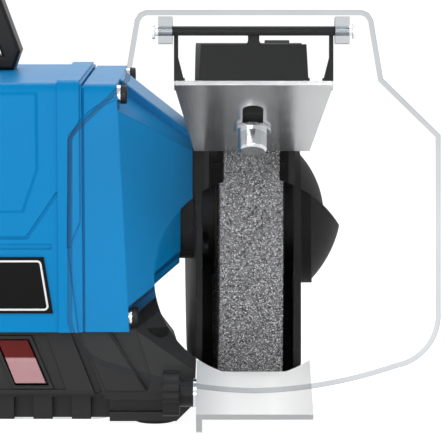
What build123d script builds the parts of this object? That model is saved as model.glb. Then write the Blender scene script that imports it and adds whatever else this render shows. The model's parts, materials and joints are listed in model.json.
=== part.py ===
import os
from math import cos, radians, sin, tan

from build123d import *

os.makedirs("parts", exist_ok=True)

# Frame: bench plane at Z = 0 under the middle of the base, +X along the spindle, +Y to the back, +Z up.
# All sizes are in millimetres.

# driving sizes
wheel_diameter = 150.0
wheel_width = 25.0
wheel_x = 165.0            # middle plane of each grinding wheel, from the machine's middle
motor_bore = 54.0          # radius of the space for the stator
wheel_radius = wheel_diameter / 2
base_height = wheel_radius - 31.5    # lifts the motor so that the wheels clear the bench
cradle_depth = 9.5         # how far the stator's space dips into the base
axis_height = base_height + motor_bore - cradle_depth

# clearances
gap = 0.3                  # between pieces that move past each other
press = 0.02               # radial play of a seated piece
turning = 0.05             # radial play on the spindle
hole_play = 0.2            # radial play of a screw in its hole
slide_gap = 0.15           # between the spark guard and what clamps it

# motor housing
housing_wall = 11.0
housing_crown = 14.0
housing_drop = motor_bore - cradle_depth
housing_half_depth = motor_bore + housing_wall
housing_top = axis_height + motor_bore + housing_crown
housing_bottom = axis_height - housing_drop
housing_height = housing_top - housing_bottom
housing_mid_z = (housing_top + housing_bottom) / 2
housing_seam_x = 90.0      # where the end bells begin
housing_corner = 4.0
seam_width = 2.0
seam_depth = 2.0
belt_width = 10.0
belt_rise = 1.2
belt_start_x = housing_seam_x - seam_width - belt_width
notch_drop = 13.0          # notch low on the front of each belt
notch_width = 5.6
notch_low_width = 1.2

base_top_half_depth = housing_half_depth - 7.0
base_half_depth = base_top_half_depth + 4.0

# pressed lines and the raised panel on the housing's face, heights from the spindle axis
panel_half = 69.5
panel_low_half = 62.8
panel_corner_z = 29.2
panel_low_z = 9.8
panel_rise = 1.0
panel_bevel = 50.0         # slant of the raised panel's edge, in degrees
line_width = 1.2
line_depth = 0.8
line_low_half = 64.1
line_corner_z = 18.9
line_low_z = -1.5
sweep_start = (82.9, -6.0)  # curved line over the belt and the end bell: foot, bend, middle and end
sweep_bend = (83.8, 42.7)
sweep_mid = (90.8, 52.9)
sweep_end = (105.5, 61.4)
sweep_width = 1.6
sweep_depth = 0.7
groove_half = 75.0
groove_z = -5.5
groove_width = 2.3
plate_half = 71.5
plate_low_half = 75.5
plate_top_z = -10.2
plate_low_z = -35.7
plate_thick = 1.2

# end bells
shoulder_x = 107.2         # where the taper begins, half way up
shoulder_lean = 2.67       # the shoulder leans in toward the top, in degrees
bell_inset = 0.6
bell_cavity = 38.0
bell_end_half_depth = 35.0
bell_end_drop = 20.0
bell_end_rise = 41.0
facet_drop = 11.5          # corner facets at the shoulder: height on the front, half of the flat left on top
facet_flat = 26.0
end_facet_drop = 6.5       # the same at the small end
end_facet_flat = 24.0
channel_inset = 2.0        # a channel in each corner facet leads a key to the screw: rim beside it
channel_depth = 5.0        # at the shoulder and at the small end
channel_end_depth = 1.5
screw_y = housing_half_depth - 8.0
screw_top_z = housing_top - 5.6
screw_low_z = housing_bottom + 6.2
screw_head_radius = 4.25
screw_head_length = 5.0
screw_shank_radius = 2.5
screw_socket = 2.3         # corner radius of the hexagon socket
screw_bite = 24.0          # thread length in the housing
spot_depth = 0.8
spot_play = 0.5

# spindle and what is clamped on it
rotor_seat_radius = 10.0
rotor_seat_half = 45.0
bearing_bore = 7.5
bearing_radius = 17.5
bearing_width = 11.0
bearing_x = 118.0
spindle_room = 1.5         # round the spindle where it leaves the end bell
spindle_end_radius = 6.35
flange_radius = 25.0
flange_thick = 5.0
flange_land = 6.0          # width of the ring that bears on the wheel
flange_hollow = 1.5
blotter_thick = 0.8
blotter_margin = 3.0
flange_x = wheel_width / 2 + blotter_thick     # inner face of a flange, from the wheel's middle
nut_thick = 10.0
nut_across = 19.0
spindle_past_nut = 1.7
wheel_edge = 1.0

# stator and rotor
stack_half = 36.0
stator_bore = 29.6
air_gap = 0.6
slot_count = 24
stator_slot = (11.0, 4.0)
winding_slot = (9.6, 3.4)
slot_mid = stator_bore + 8.0
winding_end = 18.0
winding_inner = stator_bore + 2.0
winding_outer = stator_bore + 13.0

# wheel guard, measured from the wheel's middle plane and the spindle axis
guard_clearance = 7.0
guard_radius = wheel_radius + guard_clearance
guard_rim = 3.0
guard_wall = 2.5
guard_inner_x = -wheel_width / 2 - 9.0
guard_outer_x = wheel_width / 2 + 4.0
guard_pad = 5.3            # pad between the guard and the end bell
guard_pad_margin = 1.5
guard_pad_corner = 12.0
guard_lip = 4.1            # the hood's lips stand out from the guard and from its cover
cover_lip = 4.6
guard_lip_height = 7.0
lip_end_angle = 150.0
guard_screw_ring = 30.0
guard_screw_angles = (90.0, 205.0, 335.0)
guard_screw_radius = 2.0
guard_screw_head = 4.0
guard_screw_head_thick = 3.0
guard_screw_bite = 8.5
mouth_top_angle = 33.0
mouth_low_angle = -58.0
mouth_depth = 15.0         # how far the side walls stand back from the wheel's front
mouth_corner_top = 30.0
mouth_corner_low = -48.0
mouth_inside = 12.0        # where the cut begins inside the guard's rim, and how far it runs out past it
mouth_outside = 60.0
cover_thick = 3.0
dome_radius = 29.5
dome_step = 4.0            # straight foot of the dome
dome_step_radius = 31.0
dome_skin = 2.5
dome_past_nut = 6.7
ear_angles = (120.0, 205.0, 298.0)
ear_radius = 6.0
ear_ring = guard_radius + 4.6
ear_length = 9.0
cover_screw_radius = 2.0
cover_screw_head = 4.0
cover_screw_head_thick = 2.6

guard_start = wheel_x + guard_inner_x
guard_end = wheel_x + guard_outer_x
bell_end_x = guard_start - guard_pad
bell_end_top = axis_height + bell_end_rise
bell_end_bottom = axis_height - bell_end_drop
dome_x = flange_x + flange_thick + nut_thick + dome_past_nut

# spark guard: a sloping slotted sheet clamped under a lug of the wheel guard
sheet = 2.0
spark_tilt = 29.5
spark_back_y = -wheel_radius + 7.0
spark_back_z = 38.0
spark_length = 69.0
spark_back_width = 51.5
spark_front_width = 67.0
bolt_along = 24.0          # bolt's place along the sheet from its wheel end
bolt_radius = 4.0
bolt_across = 13.0
bolt_head_thick = 5.3
cap_nut_radius = 6.2
cap_nut_length = 9.0
cap_nut_round = 1.2
cap_nut_thread = 7.0
slot_width = 2 * bolt_radius + 1.0
slot_back = 16.0
slot_front = 44.0
lug_thick = 4.0
lug_width = 22.0
lug_length = 36.0
washer_radius = bolt_radius + 4.0
washer_thick = 1.6

# bracket on the spark guard with the rod that the eye shield hangs on
shield_lean = 7.5
rod_y = -wheel_radius - 50.0
rod_z = 94.5
rod_radius = 2.0
rod_head = 3.4
rod_head_thick = 1.0
bracket_back = 3.0         # rod axis to the bracket's back face
bracket_drop = 30.0
leg_width = 1.8
leg_foot_width = 4.6
leg_flare_start = 11.0
leg_flare_end = 22.0
panel_drop = 5.5           # rod axis down to the bracket's middle panel
panel_top_half = 22.2
panel_foot_half = 23.6
tongue_half = 2.4
tongue_fillet = 1.7
foot_depth = 9.0
foot_thick = 1.5
foot_setback = 0.5

# eye shield, drawn from the rod downward
shield_thick = 3.0
shield_stand = 6.3         # rod axis to the back face of the shield
shield_half = 77.7
shield_top = 8.0
shield_top_half = 49.0
shield_neck_half = 53.7
shield_neck_drop = 20.5
shield_shoulder_drop = 44.0
shield_side_drop = 117.0
shield_corner = (74.2, 131.0)
shield_sweep = (59.3, 141.0)
shield_sweep_mid = (25.0, 149.4)
shield_bottom_drop = 151.5
shield_top_fillet = 4.0
shield_ear_inner = spark_front_width / 2 + 0.5
shield_ear_width = 6.0
shield_ear_outer = shield_ear_inner + shield_ear_width
shield_ear_radius = 5.6
rod_half = shield_ear_outer + 1.5
lens_radius = 41.5
lens_drop = 103.0
lens_curve = 220.0

# tool rest
rest_tilt = 17.2
rest_thick = 2.5
rest_length = 50.0
rest_rise = 11.4           # top of the rest above the stud, square to the rest
rest_back = 9.8            # back edge of the rest past the stud
rest_left = guard_inner_x - rest_thick - 0.5
rest_right = 26.0
rest_in = 14.0             # travel of the rest toward the wheel
rest_out = 4.0             # travel of the rest away from the wheel
rest_cheek_drop = 8.0
rest_cheek_front = 6.0
rest_forward = 18.0        # stud in front of the base, so that the knob clears it
stud_y = -base_half_depth - rest_forward
stud_z = -wheel_radius + 5.7
stud_radius = 3.0
rest_lug_radius = 8.4
rest_lug_thick = 4.5
rest_boss_thick = 8.5
rest_lug_root = (-38.0, -wheel_radius + 2.0)
rest_washer_radius = 6.4
rest_washer_thick = 1.5
knob_neck_radius = 6.2
knob_neck_length = 6.0
knob_radius = 9.2
knob_length = 7.5
knob_lobes = 6
knob_lobe_radius = 2.7
knob_hole = 9.0

# base
base_bottom = 2.0
base_top = housing_bottom
base_half_length = 139.0
base_top_half_length = base_half_length - 27.0
base_end_low_z = 10.0
base_end_high_z = 31.0
base_peak_x = base_half_length - 15.0   # the ends rise to a peak under the end bells
base_peak_rise = 7.0
base_peak_half_depth = base_top_half_depth - 13.0
base_cut_z = 24.6          # where the slanting cut over each front corner ends
base_foot_half_length = base_half_length - 8.0
skirt_top = 16.0
skirt_height = 14.3        # top of the set-back skirt
skirt_setback = 5.0
skirt_half_length = base_half_length - 41.0
flute_pitch = 17.5
flute_depth = 4.0
flute_count = 12
slant = 0.43               # sideways run of the slanting lines on the base, per millimetre of drop
rib_x = base_half_length - 55.2  # slanting groove beside the switch bay, at the top of the base
rib_width = 3.4
rib_depth = 2.5
# raised end panel, left and right edge at the top
end_panel_x = (base_half_length - 51.5, base_half_length - 39.1)
end_panel_rise = 1.0
end_panel_slant = 0.65     # sideways run of its right edge
hollow_x = base_half_length - 26.5  # right edge of the hollow beside the end panel
hollow_depth = 2.5
toe_groove = (6.3, 11.6)   # low and high edge of the groove over each foot
toe_groove_x = (skirt_half_length, base_half_length - 12.0)
toe_groove_depth = 3.0
bay_half = rib_x - 11.8
bay_low_half = rib_x - 2.8
bay_depth = 1.5
bay_margin = 0.6
bay_height = 24.8
cavity_half_length = base_half_length - 49.0
cavity_half_depth = base_half_depth - 13.0
cavity_roof = 14.5         # thickness over the hollow underside
cavity_top = base_top - cavity_roof
cavity_corner = 8.0
bench_hole_x = base_half_length - 18.0
bench_hole_y = base_half_depth - 13.0
bench_hole_radius = 4.2
bench_well_radius = 7.0
bench_well_floor = 10.0
foot_radius = 9.5
foot_sink = 3.0
plate_screw_x = cavity_half_length + 5.0
plate_screw_y = 30.0
plate_screw_radius = 1.6
plate_screw_head = 3.0
plate_screw_head_thick = 0.4
plate_screw_length = 8.0
bottom_plate_thick = 1.5
bottom_plate_margin = 1.6
bottom_plate_end = 10.0

# switch in the bay, slanted like the bay's sides
switch_x = bay_half - 11.0
switch_up = 13.0           # middle of the switch above the skirt, along the slope
bezel = (18.6, 24.2)
bezel_thick = 1.6
switch_body = (16.2, 22.0)
switch_body_depth = 13.0
switch_opening = (16.8, 22.4)
switch_well = (15.2, 20.8)
switch_well_depth = 9.0
rocker_width = 13.6        # leaves room for the slanted sides as the rocker tips
rocker_half = 9.7
rocker_throw = 7.0
rocker_peak = 3.2
rocker_dip = 1.9
rocker_root = 4.0
rocker_root_half = 3.5

# carry handle
handle_y = 28.0
handle_half_depth = 9.5
handle_leg = 9.0
handle_foot_half = 52.0
handle_knee_half = 55.3
handle_knee = 9.1
handle_height = 48.0
handle_splay = 0.361       # how far the legs lean in, per millimetre of rise
handle_saddle = 7.0
handle_corner = 9.0
handle_edge = 1.8
handle_screw_x = 44.0
handle_screw_radius = 2.0
handle_screw_head = 3.8
handle_screw_head_thick = 3.0
handle_screw_bite = 5.5
handle_screw_roof = 19.0   # housing left above the screw heads

# run capacitor and cable gland
can_radius = 12.0
can_length = 60.0
gland_x = -60.0
gland_z = 20.0
gland_bore = 3.5
gland_thread = 6.0
gland_depth = 10.0
gland_hex = 9.0
gland_hex_thick = 6.0
gland_cap = 6.5
gland_cap_thick = 6.0


def save(part, name):
    part.label = name
    export_step(part, f"parts/{name}.step")


def save_both(right, name):
    # the left half of the machine is the mirror image of the right half
    save(right, f"{name}_right")
    with BuildPart() as left:
        mirror(right, about=Plane.YZ)
    save(left.part, f"{name}_left")


def save_group(right, name):
    # small identical pieces of both sides share one node
    with BuildPart() as left:
        mirror(right, about=Plane.YZ)
    pieces = list(right.solids()) + list(left.part.solids())
    save(Compound(children=pieces), name)


def side_plane(x):
    # a plane across the spindle: local x runs to the back, local y up, from the spindle axis
    return Plane(origin=(x, 0, axis_height), x_dir=(0, 1, 0), z_dir=(1, 0, 0))


def polar(radius, angle):
    # a point beside the wheel: zero degrees points to the operator, ninety straight up
    return (-radius * cos(radians(angle)), radius * sin(radians(angle)))


def ring(radius, angles):
    return [polar(radius, angle) for angle in angles]


def mouth_points():
    # outline of what is cut from the guard and its cover in front of the wheel
    wall_y = mouth_depth - wheel_radius
    near = guard_radius - mouth_inside
    far = guard_radius + mouth_outside
    return [
        polar(near, mouth_low_angle), polar(far, mouth_low_angle), (-2 * far, 0),
        polar(far, mouth_top_angle),
        polar(near, mouth_top_angle), (wall_y, mouth_corner_top), (wall_y, mouth_corner_low),
    ]


def hood_points():
    # wedge of the guard that the hood's lips run along
    return [(0, 0), *ring(3 * guard_radius, (mouth_top_angle, 90, lip_end_angle))]


def faceted(half_depth, low, high, flat, drop):
    # a rectangle with its corners cut across
    front = [(-half_depth, low + drop), (-half_depth, high - drop), (-flat, high)]
    back = [(flat, high), (half_depth, high - drop), (half_depth, low + drop)]
    return front + back + [(flat, low), (-flat, low)]


def channel(half_depth, high, flat, drop, depth):
    # section of the channel in a corner facet, drawn as far out as it is deep
    front, top = Vector(half_depth, high - drop), Vector(flat, high)
    along = (top - front).normalized()
    across = Vector(-along.Y, along.X) * depth
    start, end = front + along * channel_inset, top - along * channel_inset
    return [start - across, end - across, end + across, start + across]


def slanted(size):
    # a four-sided outline whose sides run with the slant of the base
    half, up = size[0] / 2, size[1] / 2
    run = slant * up
    return [(-half - run, up), (half - run, up), (half + run, -up), (-half + run, -up)]


# planes that the sloping pieces are drawn on
spark_dir = (0, -cos(radians(spark_tilt)), sin(radians(spark_tilt)))
spark_up = (0, sin(radians(spark_tilt)), cos(radians(spark_tilt)))
spark_origin = Vector(wheel_x, spark_back_y, axis_height + spark_back_z)
spark_plane = Plane(origin=spark_origin, x_dir=spark_dir, z_dir=spark_up)
lean = radians(shield_lean)
shield_plane = Plane(
    origin=(wheel_x, rod_y, axis_height + rod_z), x_dir=(1, 0, 0), z_dir=(0, -cos(lean), sin(lean))
)
tilt = radians(rest_tilt)
rest_plane = Plane(
    origin=(wheel_x, stud_y, axis_height + stud_z), x_dir=(0, cos(tilt), sin(tilt)), z_dir=(1, 0, 0)
)
face = Plane(origin=(0, -housing_half_depth, axis_height), x_dir=(1, 0, 0), z_dir=(0, -1, 0))
screw_corners = [(y, z) for y in (-screw_y, screw_y) for z in (screw_top_z, screw_low_z)]
handle_screws_at = [(-handle_screw_x, handle_y), (handle_screw_x, handle_y)]
handle_head_top = housing_top - handle_screw_roof

# motor housing with a belt at each end, a raised panel and pressed lines on its face
with BuildPart() as housing:
    with BuildSketch(Plane.YZ.offset(-housing_seam_x + seam_width / 2)) as section:
        with Locations((0, housing_mid_z)):
            Rectangle(2 * housing_half_depth, housing_height)
        fillet(section.vertices().group_by(Axis.Y)[-1], housing_corner)
    extrude(amount=2 * housing_seam_x - seam_width)
    for start in (belt_start_x, -belt_start_x - belt_width):
        with BuildSketch(Plane.YZ.offset(start)) as belt:
            with Locations((0, housing_mid_z + belt_rise / 2)):
                Rectangle(2 * housing_half_depth + 2 * belt_rise, housing_height + belt_rise)
            fillet(belt.vertices().group_by(Axis.Y)[-1], housing_corner + belt_rise)
        extrude(amount=belt_width)
    with BuildSketch(Plane.YZ.offset(-housing_seam_x)):
        with Locations((0, housing_mid_z - seam_depth / 2)):
            Rectangle(2 * (housing_half_depth - seam_depth), housing_height - seam_depth)
    extrude(amount=2 * housing_seam_x)
    with BuildSketch(face):
        with BuildLine():
            panel_top = housing_top - axis_height - housing_corner
            Polyline(
                (-panel_half, panel_top), (-panel_half, panel_corner_z), (-panel_low_half, panel_low_z),
                (panel_low_half, panel_low_z), (panel_half, panel_corner_z),
                (panel_half, panel_top), close=True,
            )
        make_face()
    extrude(amount=panel_rise, taper=panel_bevel)
    with BuildSketch(face):
        with BuildLine():
            Polyline(
                (-belt_start_x, line_corner_z), (-line_low_half, line_low_z),
                (line_low_half, line_low_z), (belt_start_x, line_corner_z),
            )
        trace(line_width=line_width)
        with Locations((0, groove_z)):
            Rectangle(2 * groove_half, groove_width)
    extrude(amount=-line_depth, mode=Mode.SUBTRACT)
    # a curved line runs up each belt and over to the end bell
    with BuildSketch(face.offset(belt_rise)):
        with BuildLine():
            Line(sweep_start, sweep_bend)
            ThreePointArc(sweep_bend, sweep_mid, sweep_end)
        sweep_line = trace(line_width=sweep_width)
        mirror(sweep_line, about=Plane.YZ)
    extrude(amount=-belt_rise - sweep_depth, mode=Mode.SUBTRACT)
    # the belts are notched low down on the front
    with BuildSketch(face.offset(belt_rise)):
        with BuildLine():
            edge = belt_start_x + belt_width
            Polyline(
                (edge, line_corner_z - notch_drop), (edge - notch_width, line_corner_z - 2 * notch_drop),
                (edge - notch_low_width, -housing_drop),
                (edge, -housing_drop), close=True,
            )
        make_face()
        mirror(about=Plane.YZ)
    extrude(amount=-belt_rise, mode=Mode.SUBTRACT)
    with BuildSketch(side_plane(-housing_seam_x)):
        Circle(motor_bore)
    extrude(amount=2 * housing_seam_x, mode=Mode.SUBTRACT)
    # corner holes for the end bell screws
    for side in (-1, 1):
        with BuildSketch(Plane.YZ.offset(side * housing_seam_x)):
            with Locations(*screw_corners):
                Circle(screw_shank_radius + hole_play)
        extrude(amount=-side * (screw_bite + 3), mode=Mode.SUBTRACT)
    # holes for the handle screws, with room for their heads from inside
    with BuildSketch(Plane.XY.offset(handle_head_top)):
        with Locations(*handle_screws_at):
            Circle(handle_screw_radius + hole_play)
    extrude(amount=2 * handle_screw_roof, mode=Mode.SUBTRACT)
    with BuildSketch(Plane.XY.offset(axis_height)):
        with Locations(*handle_screws_at):
            Circle(handle_screw_head + gap)
    extrude(amount=handle_head_top - axis_height, mode=Mode.SUBTRACT)
save(housing.part, "housing")

# end bell: a square shoulder, then a taper with cut corners down to the guard
shoulder_tilt = radians(shoulder_lean)
shoulder_plane = Plane(
    origin=(shoulder_x, 0, housing_mid_z), x_dir=(0, 1, 0), z_dir=(cos(shoulder_tilt), 0, sin(shoulder_tilt))
)
bell_low_x = shoulder_x + (housing_mid_z - housing_bottom) * tan(shoulder_tilt)
bell_half_depth = housing_half_depth - bell_inset
bell_low = (housing_bottom - housing_mid_z) / cos(shoulder_tilt)
bell_high = (housing_top - bell_inset - housing_mid_z) / cos(shoulder_tilt)


def screw_seat_x(z):
    # the screw heads sit on spot faces sunk a little into the leaning shoulder
    return shoulder_x - (z - housing_mid_z) * tan(shoulder_tilt) - spot_depth


with BuildPart() as bell:
    with BuildSketch(Plane.YZ.offset(housing_seam_x)) as shoulder:
        with Locations((0, housing_mid_z - bell_inset / 2)):
            Rectangle(2 * bell_half_depth, housing_height - bell_inset)
        fillet(shoulder.vertices().group_by(Axis.Y)[-1], housing_corner)
    extrude(amount=shoulder_x + 10 - housing_seam_x)
    split(bisect_by=shoulder_plane, keep=Keep.BOTTOM)
    with BuildSketch(shoulder_plane):
        with BuildLine():
            Polyline(*faceted(bell_half_depth, bell_low, bell_high, facet_flat, facet_drop), close=True)
        make_face()
    with BuildSketch(Plane.YZ.offset(bell_end_x)):
        with BuildLine():
            Polyline(
                *faceted(bell_end_half_depth, bell_end_bottom, bell_end_top, end_facet_flat, end_facet_drop),
                close=True,
            )
        make_face()
    loft(ruled=True)
    for side in (-1, 1):
        for high, drop, end_high, end_drop in (
            (bell_high, facet_drop, bell_end_top, end_facet_drop),
            (bell_low, -facet_drop, bell_end_bottom, -end_facet_drop),
        ):
            root = channel(side * bell_half_depth, high, side * facet_flat, drop, channel_depth)
            run_out = channel(
                side * bell_end_half_depth, end_high, side * end_facet_flat, end_drop, channel_end_depth
            )
            for plane, corners in ((shoulder_plane, root), (Plane.YZ.offset(bell_end_x), run_out)):
                with BuildSketch(plane):
                    with BuildLine():
                        Polyline(*corners, close=True)
                    make_face()
            loft(ruled=True, mode=Mode.SUBTRACT)
    # the curved line that comes over from the belt
    with BuildSketch(face.offset(belt_rise)):
        with BuildLine():
            Line(sweep_start, sweep_bend)
            ThreePointArc(sweep_bend, sweep_mid, sweep_end)
        trace(line_width=sweep_width)
    extrude(amount=-belt_rise - bell_inset - sweep_depth, mode=Mode.SUBTRACT)
    # space for the winding ends, the bearing seat and the spindle's way out
    for radius, start, end in (
        (bell_cavity, housing_seam_x, shoulder_x),
        (bearing_radius + press, shoulder_x, bearing_x + bearing_width),
        (bearing_bore + spindle_room, shoulder_x, bell_end_x),
    ):
        with BuildSketch(side_plane(start)):
            Circle(radius)
        extrude(amount=end - start, mode=Mode.SUBTRACT)
    for y, z in screw_corners:
        for radius, start, end in (
            (screw_shank_radius + hole_play, housing_seam_x, screw_seat_x(z)),
            (screw_head_radius + spot_play, screw_seat_x(z), bell_end_x),
        ):
            with BuildSketch(Plane.YZ.offset(start)):
                with Locations((y, z)):
                    Circle(radius)
            extrude(amount=end - start, mode=Mode.SUBTRACT)
    # blind holes for the screws that hold the wheel guard
    with BuildSketch(side_plane(bell_end_x)):
        with Locations(*ring(guard_screw_ring, guard_screw_angles)):
            Circle(guard_screw_radius + hole_play / 2)
    extrude(amount=-guard_screw_bite - 0.5, mode=Mode.SUBTRACT)
save_both(bell.part, "end_bell")

# socket head screws in the corners of both end bells
with BuildPart() as bell_screws:
    for y, z in screw_corners:
        seat = screw_seat_x(z)
        with BuildSketch(Plane.YZ.offset(seat)):
            with Locations((y, z)):
                Circle(screw_head_radius)
        extrude(amount=screw_head_length)
        with BuildSketch(Plane.YZ.offset(seat + screw_head_length)):
            with Locations((y, z)):
                RegularPolygon(screw_socket, 6)
        extrude(amount=-screw_head_length / 2, mode=Mode.SUBTRACT)
        with BuildSketch(Plane.YZ.offset(seat)):
            with Locations((y, z)):
                Circle(screw_shank_radius)
        extrude(amount=housing_seam_x - screw_bite - seat)
save_group(bell_screws.part, "end_bell_screws")

# stator stack with its windings
with BuildPart() as stator_core:
    with BuildSketch(side_plane(-stack_half)):
        Circle(motor_bore - hole_play)
        Circle(stator_bore, mode=Mode.SUBTRACT)
        with PolarLocations(slot_mid, slot_count):
            Rectangle(*stator_slot, mode=Mode.SUBTRACT)
    extrude(amount=2 * stack_half)
save(stator_core.part, "stator_core")

with BuildPart() as windings:
    for start in (-stack_half - winding_end, stack_half):
        with BuildSketch(side_plane(start)):
            Circle(winding_outer)
            Circle(winding_inner, mode=Mode.SUBTRACT)
        extrude(amount=winding_end)
    with BuildSketch(side_plane(-stack_half)):
        with PolarLocations(slot_mid + gap, slot_count):
            Rectangle(*winding_slot)
    extrude(amount=2 * stack_half)
save(windings.part, "stator_windings")

# turning group: spindle, rotor, flanges, blotters, wheels and nuts
spindle_shoulder = wheel_x - flange_x - flange_thick
spindle_end = wheel_x + flange_x + flange_thick + nut_thick + spindle_past_nut
with BuildPart() as spindle:
    for radius, reach in (
        (rotor_seat_radius, rotor_seat_half), (bearing_bore - turning, spindle_shoulder),
        (spindle_end_radius, spindle_end),
    ):
        with BuildSketch(side_plane(-reach)):
            Circle(radius)
        extrude(amount=2 * reach)
save(spindle.part, "spindle")

with BuildPart() as rotor:
    with BuildSketch(side_plane(-stack_half)):
        Circle(stator_bore - air_gap)
        Circle(rotor_seat_radius + turning, mode=Mode.SUBTRACT)
    extrude(amount=2 * stack_half)
save(rotor.part, "rotor_core")

with BuildPart() as bearing:
    with BuildSketch(side_plane(bearing_x)):
        Circle(bearing_radius)
        Circle(bearing_bore, mode=Mode.SUBTRACT)
    extrude(amount=bearing_width)
save_both(bearing.part, "bearing")

with BuildPart() as wheel:
    with BuildSketch(side_plane(wheel_x - wheel_width / 2)):
        Circle(wheel_radius)
        Circle(spindle_end_radius + turning, mode=Mode.SUBTRACT)
    extrude(amount=wheel_width)
    chamfer(wheel.edges().filter_by(GeomType.CIRCLE).sort_by(SortBy.RADIUS)[-2:], wheel_edge)
save_both(wheel.part, "wheel")

# flanges bear on the wheel at their rims only, so their faces are hollowed
for name, face_x, outward in (
    ("inner_flange", wheel_x - flange_x, -1),
    ("outer_flange", wheel_x + flange_x, 1),
):
    with BuildPart() as flange:
        with BuildSketch(side_plane(face_x)):
            Circle(flange_radius)
        extrude(amount=outward * flange_thick)
        with BuildSketch(side_plane(face_x)):
            Circle(flange_radius - flange_land)
        extrude(amount=outward * flange_hollow, mode=Mode.SUBTRACT)
        with BuildSketch(side_plane(face_x)):
            Circle(spindle_end_radius + turning)
        extrude(amount=outward * flange_thick, mode=Mode.SUBTRACT)
    save_both(flange.part, name)

with BuildPart() as blotters:
    for start in (wheel_x - flange_x, wheel_x + wheel_width / 2):
        with BuildSketch(side_plane(start)):
            Circle(flange_radius + blotter_margin)
            Circle(spindle_end_radius + turning, mode=Mode.SUBTRACT)
        extrude(amount=blotter_thick)
save_group(blotters.part, "wheel_blotters")

with BuildPart() as spindle_nut:
    with BuildSketch(side_plane(wheel_x + flange_x + flange_thick)):
        RegularPolygon(nut_across / 2, 6, major_radius=False)
        Circle(spindle_end_radius + press, mode=Mode.SUBTRACT)
    extrude(amount=nut_thick)
save_both(spindle_nut.part, "spindle_nut")

# wheel guard: drum open at the operator's side, pad to the end bell, lugs for spark guard and rest
bolt_level = sheet + slide_gap + lug_thick
with BuildPart() as guard:
    with BuildSketch(side_plane(guard_start)):
        Circle(guard_radius)
    extrude(amount=guard_end - guard_start)
    with BuildSketch(side_plane(guard_start + guard_wall)):
        Circle(guard_radius - guard_rim)
    extrude(amount=guard_end - guard_start, mode=Mode.SUBTRACT)
    # lip standing toward the motor along the upper rim
    with BuildSketch(side_plane(guard_start - guard_lip)):
        Circle(guard_radius)
        Circle(guard_radius - guard_lip_height, mode=Mode.SUBTRACT)
        with BuildLine():
            Polyline(*hood_points(), close=True)
        make_face(mode=Mode.INTERSECT)
    extrude(amount=guard_lip)
    # mouth
    with BuildSketch(side_plane(guard_start - guard_lip)):
        with BuildLine():
            Polyline(*mouth_points(), close=True)
        make_face()
    extrude(amount=guard_end - guard_start + guard_lip, mode=Mode.SUBTRACT)
    # pad against the end bell, with the spindle's way through and screw holes
    with BuildSketch(side_plane(bell_end_x)):
        with Locations((0, (bell_end_rise - bell_end_drop) / 2)):
            RectangleRounded(
                2 * (bell_end_half_depth - guard_pad_margin),
                bell_end_rise + bell_end_drop - 2 * guard_pad_margin,
                guard_pad_corner,
            )
    extrude(amount=guard_pad)
    with BuildSketch(side_plane(bell_end_x)):
        Circle(bearing_bore + 2)
        with Locations(*ring(guard_screw_ring, guard_screw_angles)):
            Circle(guard_screw_radius + gap)
    extrude(amount=guard_pad + guard_wall, mode=Mode.SUBTRACT)
    # lug over the spark guard, drawn in the slope of the sheet
    lug_plane = Plane(origin=spark_origin + Vector(lug_width / 2, 0, 0), x_dir=spark_dir, z_dir=(-1, 0, 0))
    with BuildSketch(lug_plane):
        with BuildLine():
            low = sheet + slide_gap
            Polyline(
                (2, low), (lug_length, low), (lug_length, bolt_level), (15, bolt_level),
                (4, low + 3 * lug_thick), (1.5, low + lug_thick + 1), close=True,
            )
        make_face()
    extrude(amount=lug_width)
    with BuildSketch(spark_plane):
        with Locations((bolt_along, 0)):
            Circle(bolt_radius + hole_play)
    extrude(amount=bolt_level, mode=Mode.SUBTRACT)
    # lug that carries the tool rest, with a boss for its stud
    with BuildSketch(side_plane(guard_start)):
        with Locations((stud_y, stud_z), rest_lug_root):
            Circle(rest_lug_radius)
        make_hull()
    extrude(amount=rest_lug_thick)
    with BuildSketch(side_plane(guard_start)):
        with Locations((stud_y, stud_z)):
            Circle(rest_lug_radius)
    extrude(amount=rest_boss_thick)
    with BuildSketch(side_plane(guard_start)):
        with Locations((stud_y, stud_z)):
            Circle(stud_radius + turning)
    extrude(amount=rest_boss_thick, mode=Mode.SUBTRACT)
    # ears for the cover screws
    for angle in ear_angles:
        with BuildSketch(side_plane(guard_end - ear_length)):
            with Locations(polar(ear_ring, angle)):
                Circle(ear_radius)
            with Locations(polar(guard_radius - 1, angle)):
                Circle(guard_rim - 1)
            make_hull()
        extrude(amount=ear_length)
    with BuildSketch(side_plane(guard_end - ear_length)):
        with Locations(*ring(ear_ring, ear_angles)):
            Circle(cover_screw_radius + hole_play / 2)
    extrude(amount=ear_length, mode=Mode.SUBTRACT)
save_both(guard.part, "guard")

# screws that hold the guard to the end bell
with BuildPart() as guard_screws:
    head_x = guard_start + guard_wall
    for radius, length in (
        (guard_screw_head, guard_screw_head_thick),
        (guard_screw_radius, -guard_wall - guard_pad - guard_screw_bite),
    ):
        with BuildSketch(side_plane(head_x)):
            with Locations(*ring(guard_screw_ring, guard_screw_angles)):
                Circle(radius)
        extrude(amount=length)
save_group(guard_screws.part, "guard_screws")

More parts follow.
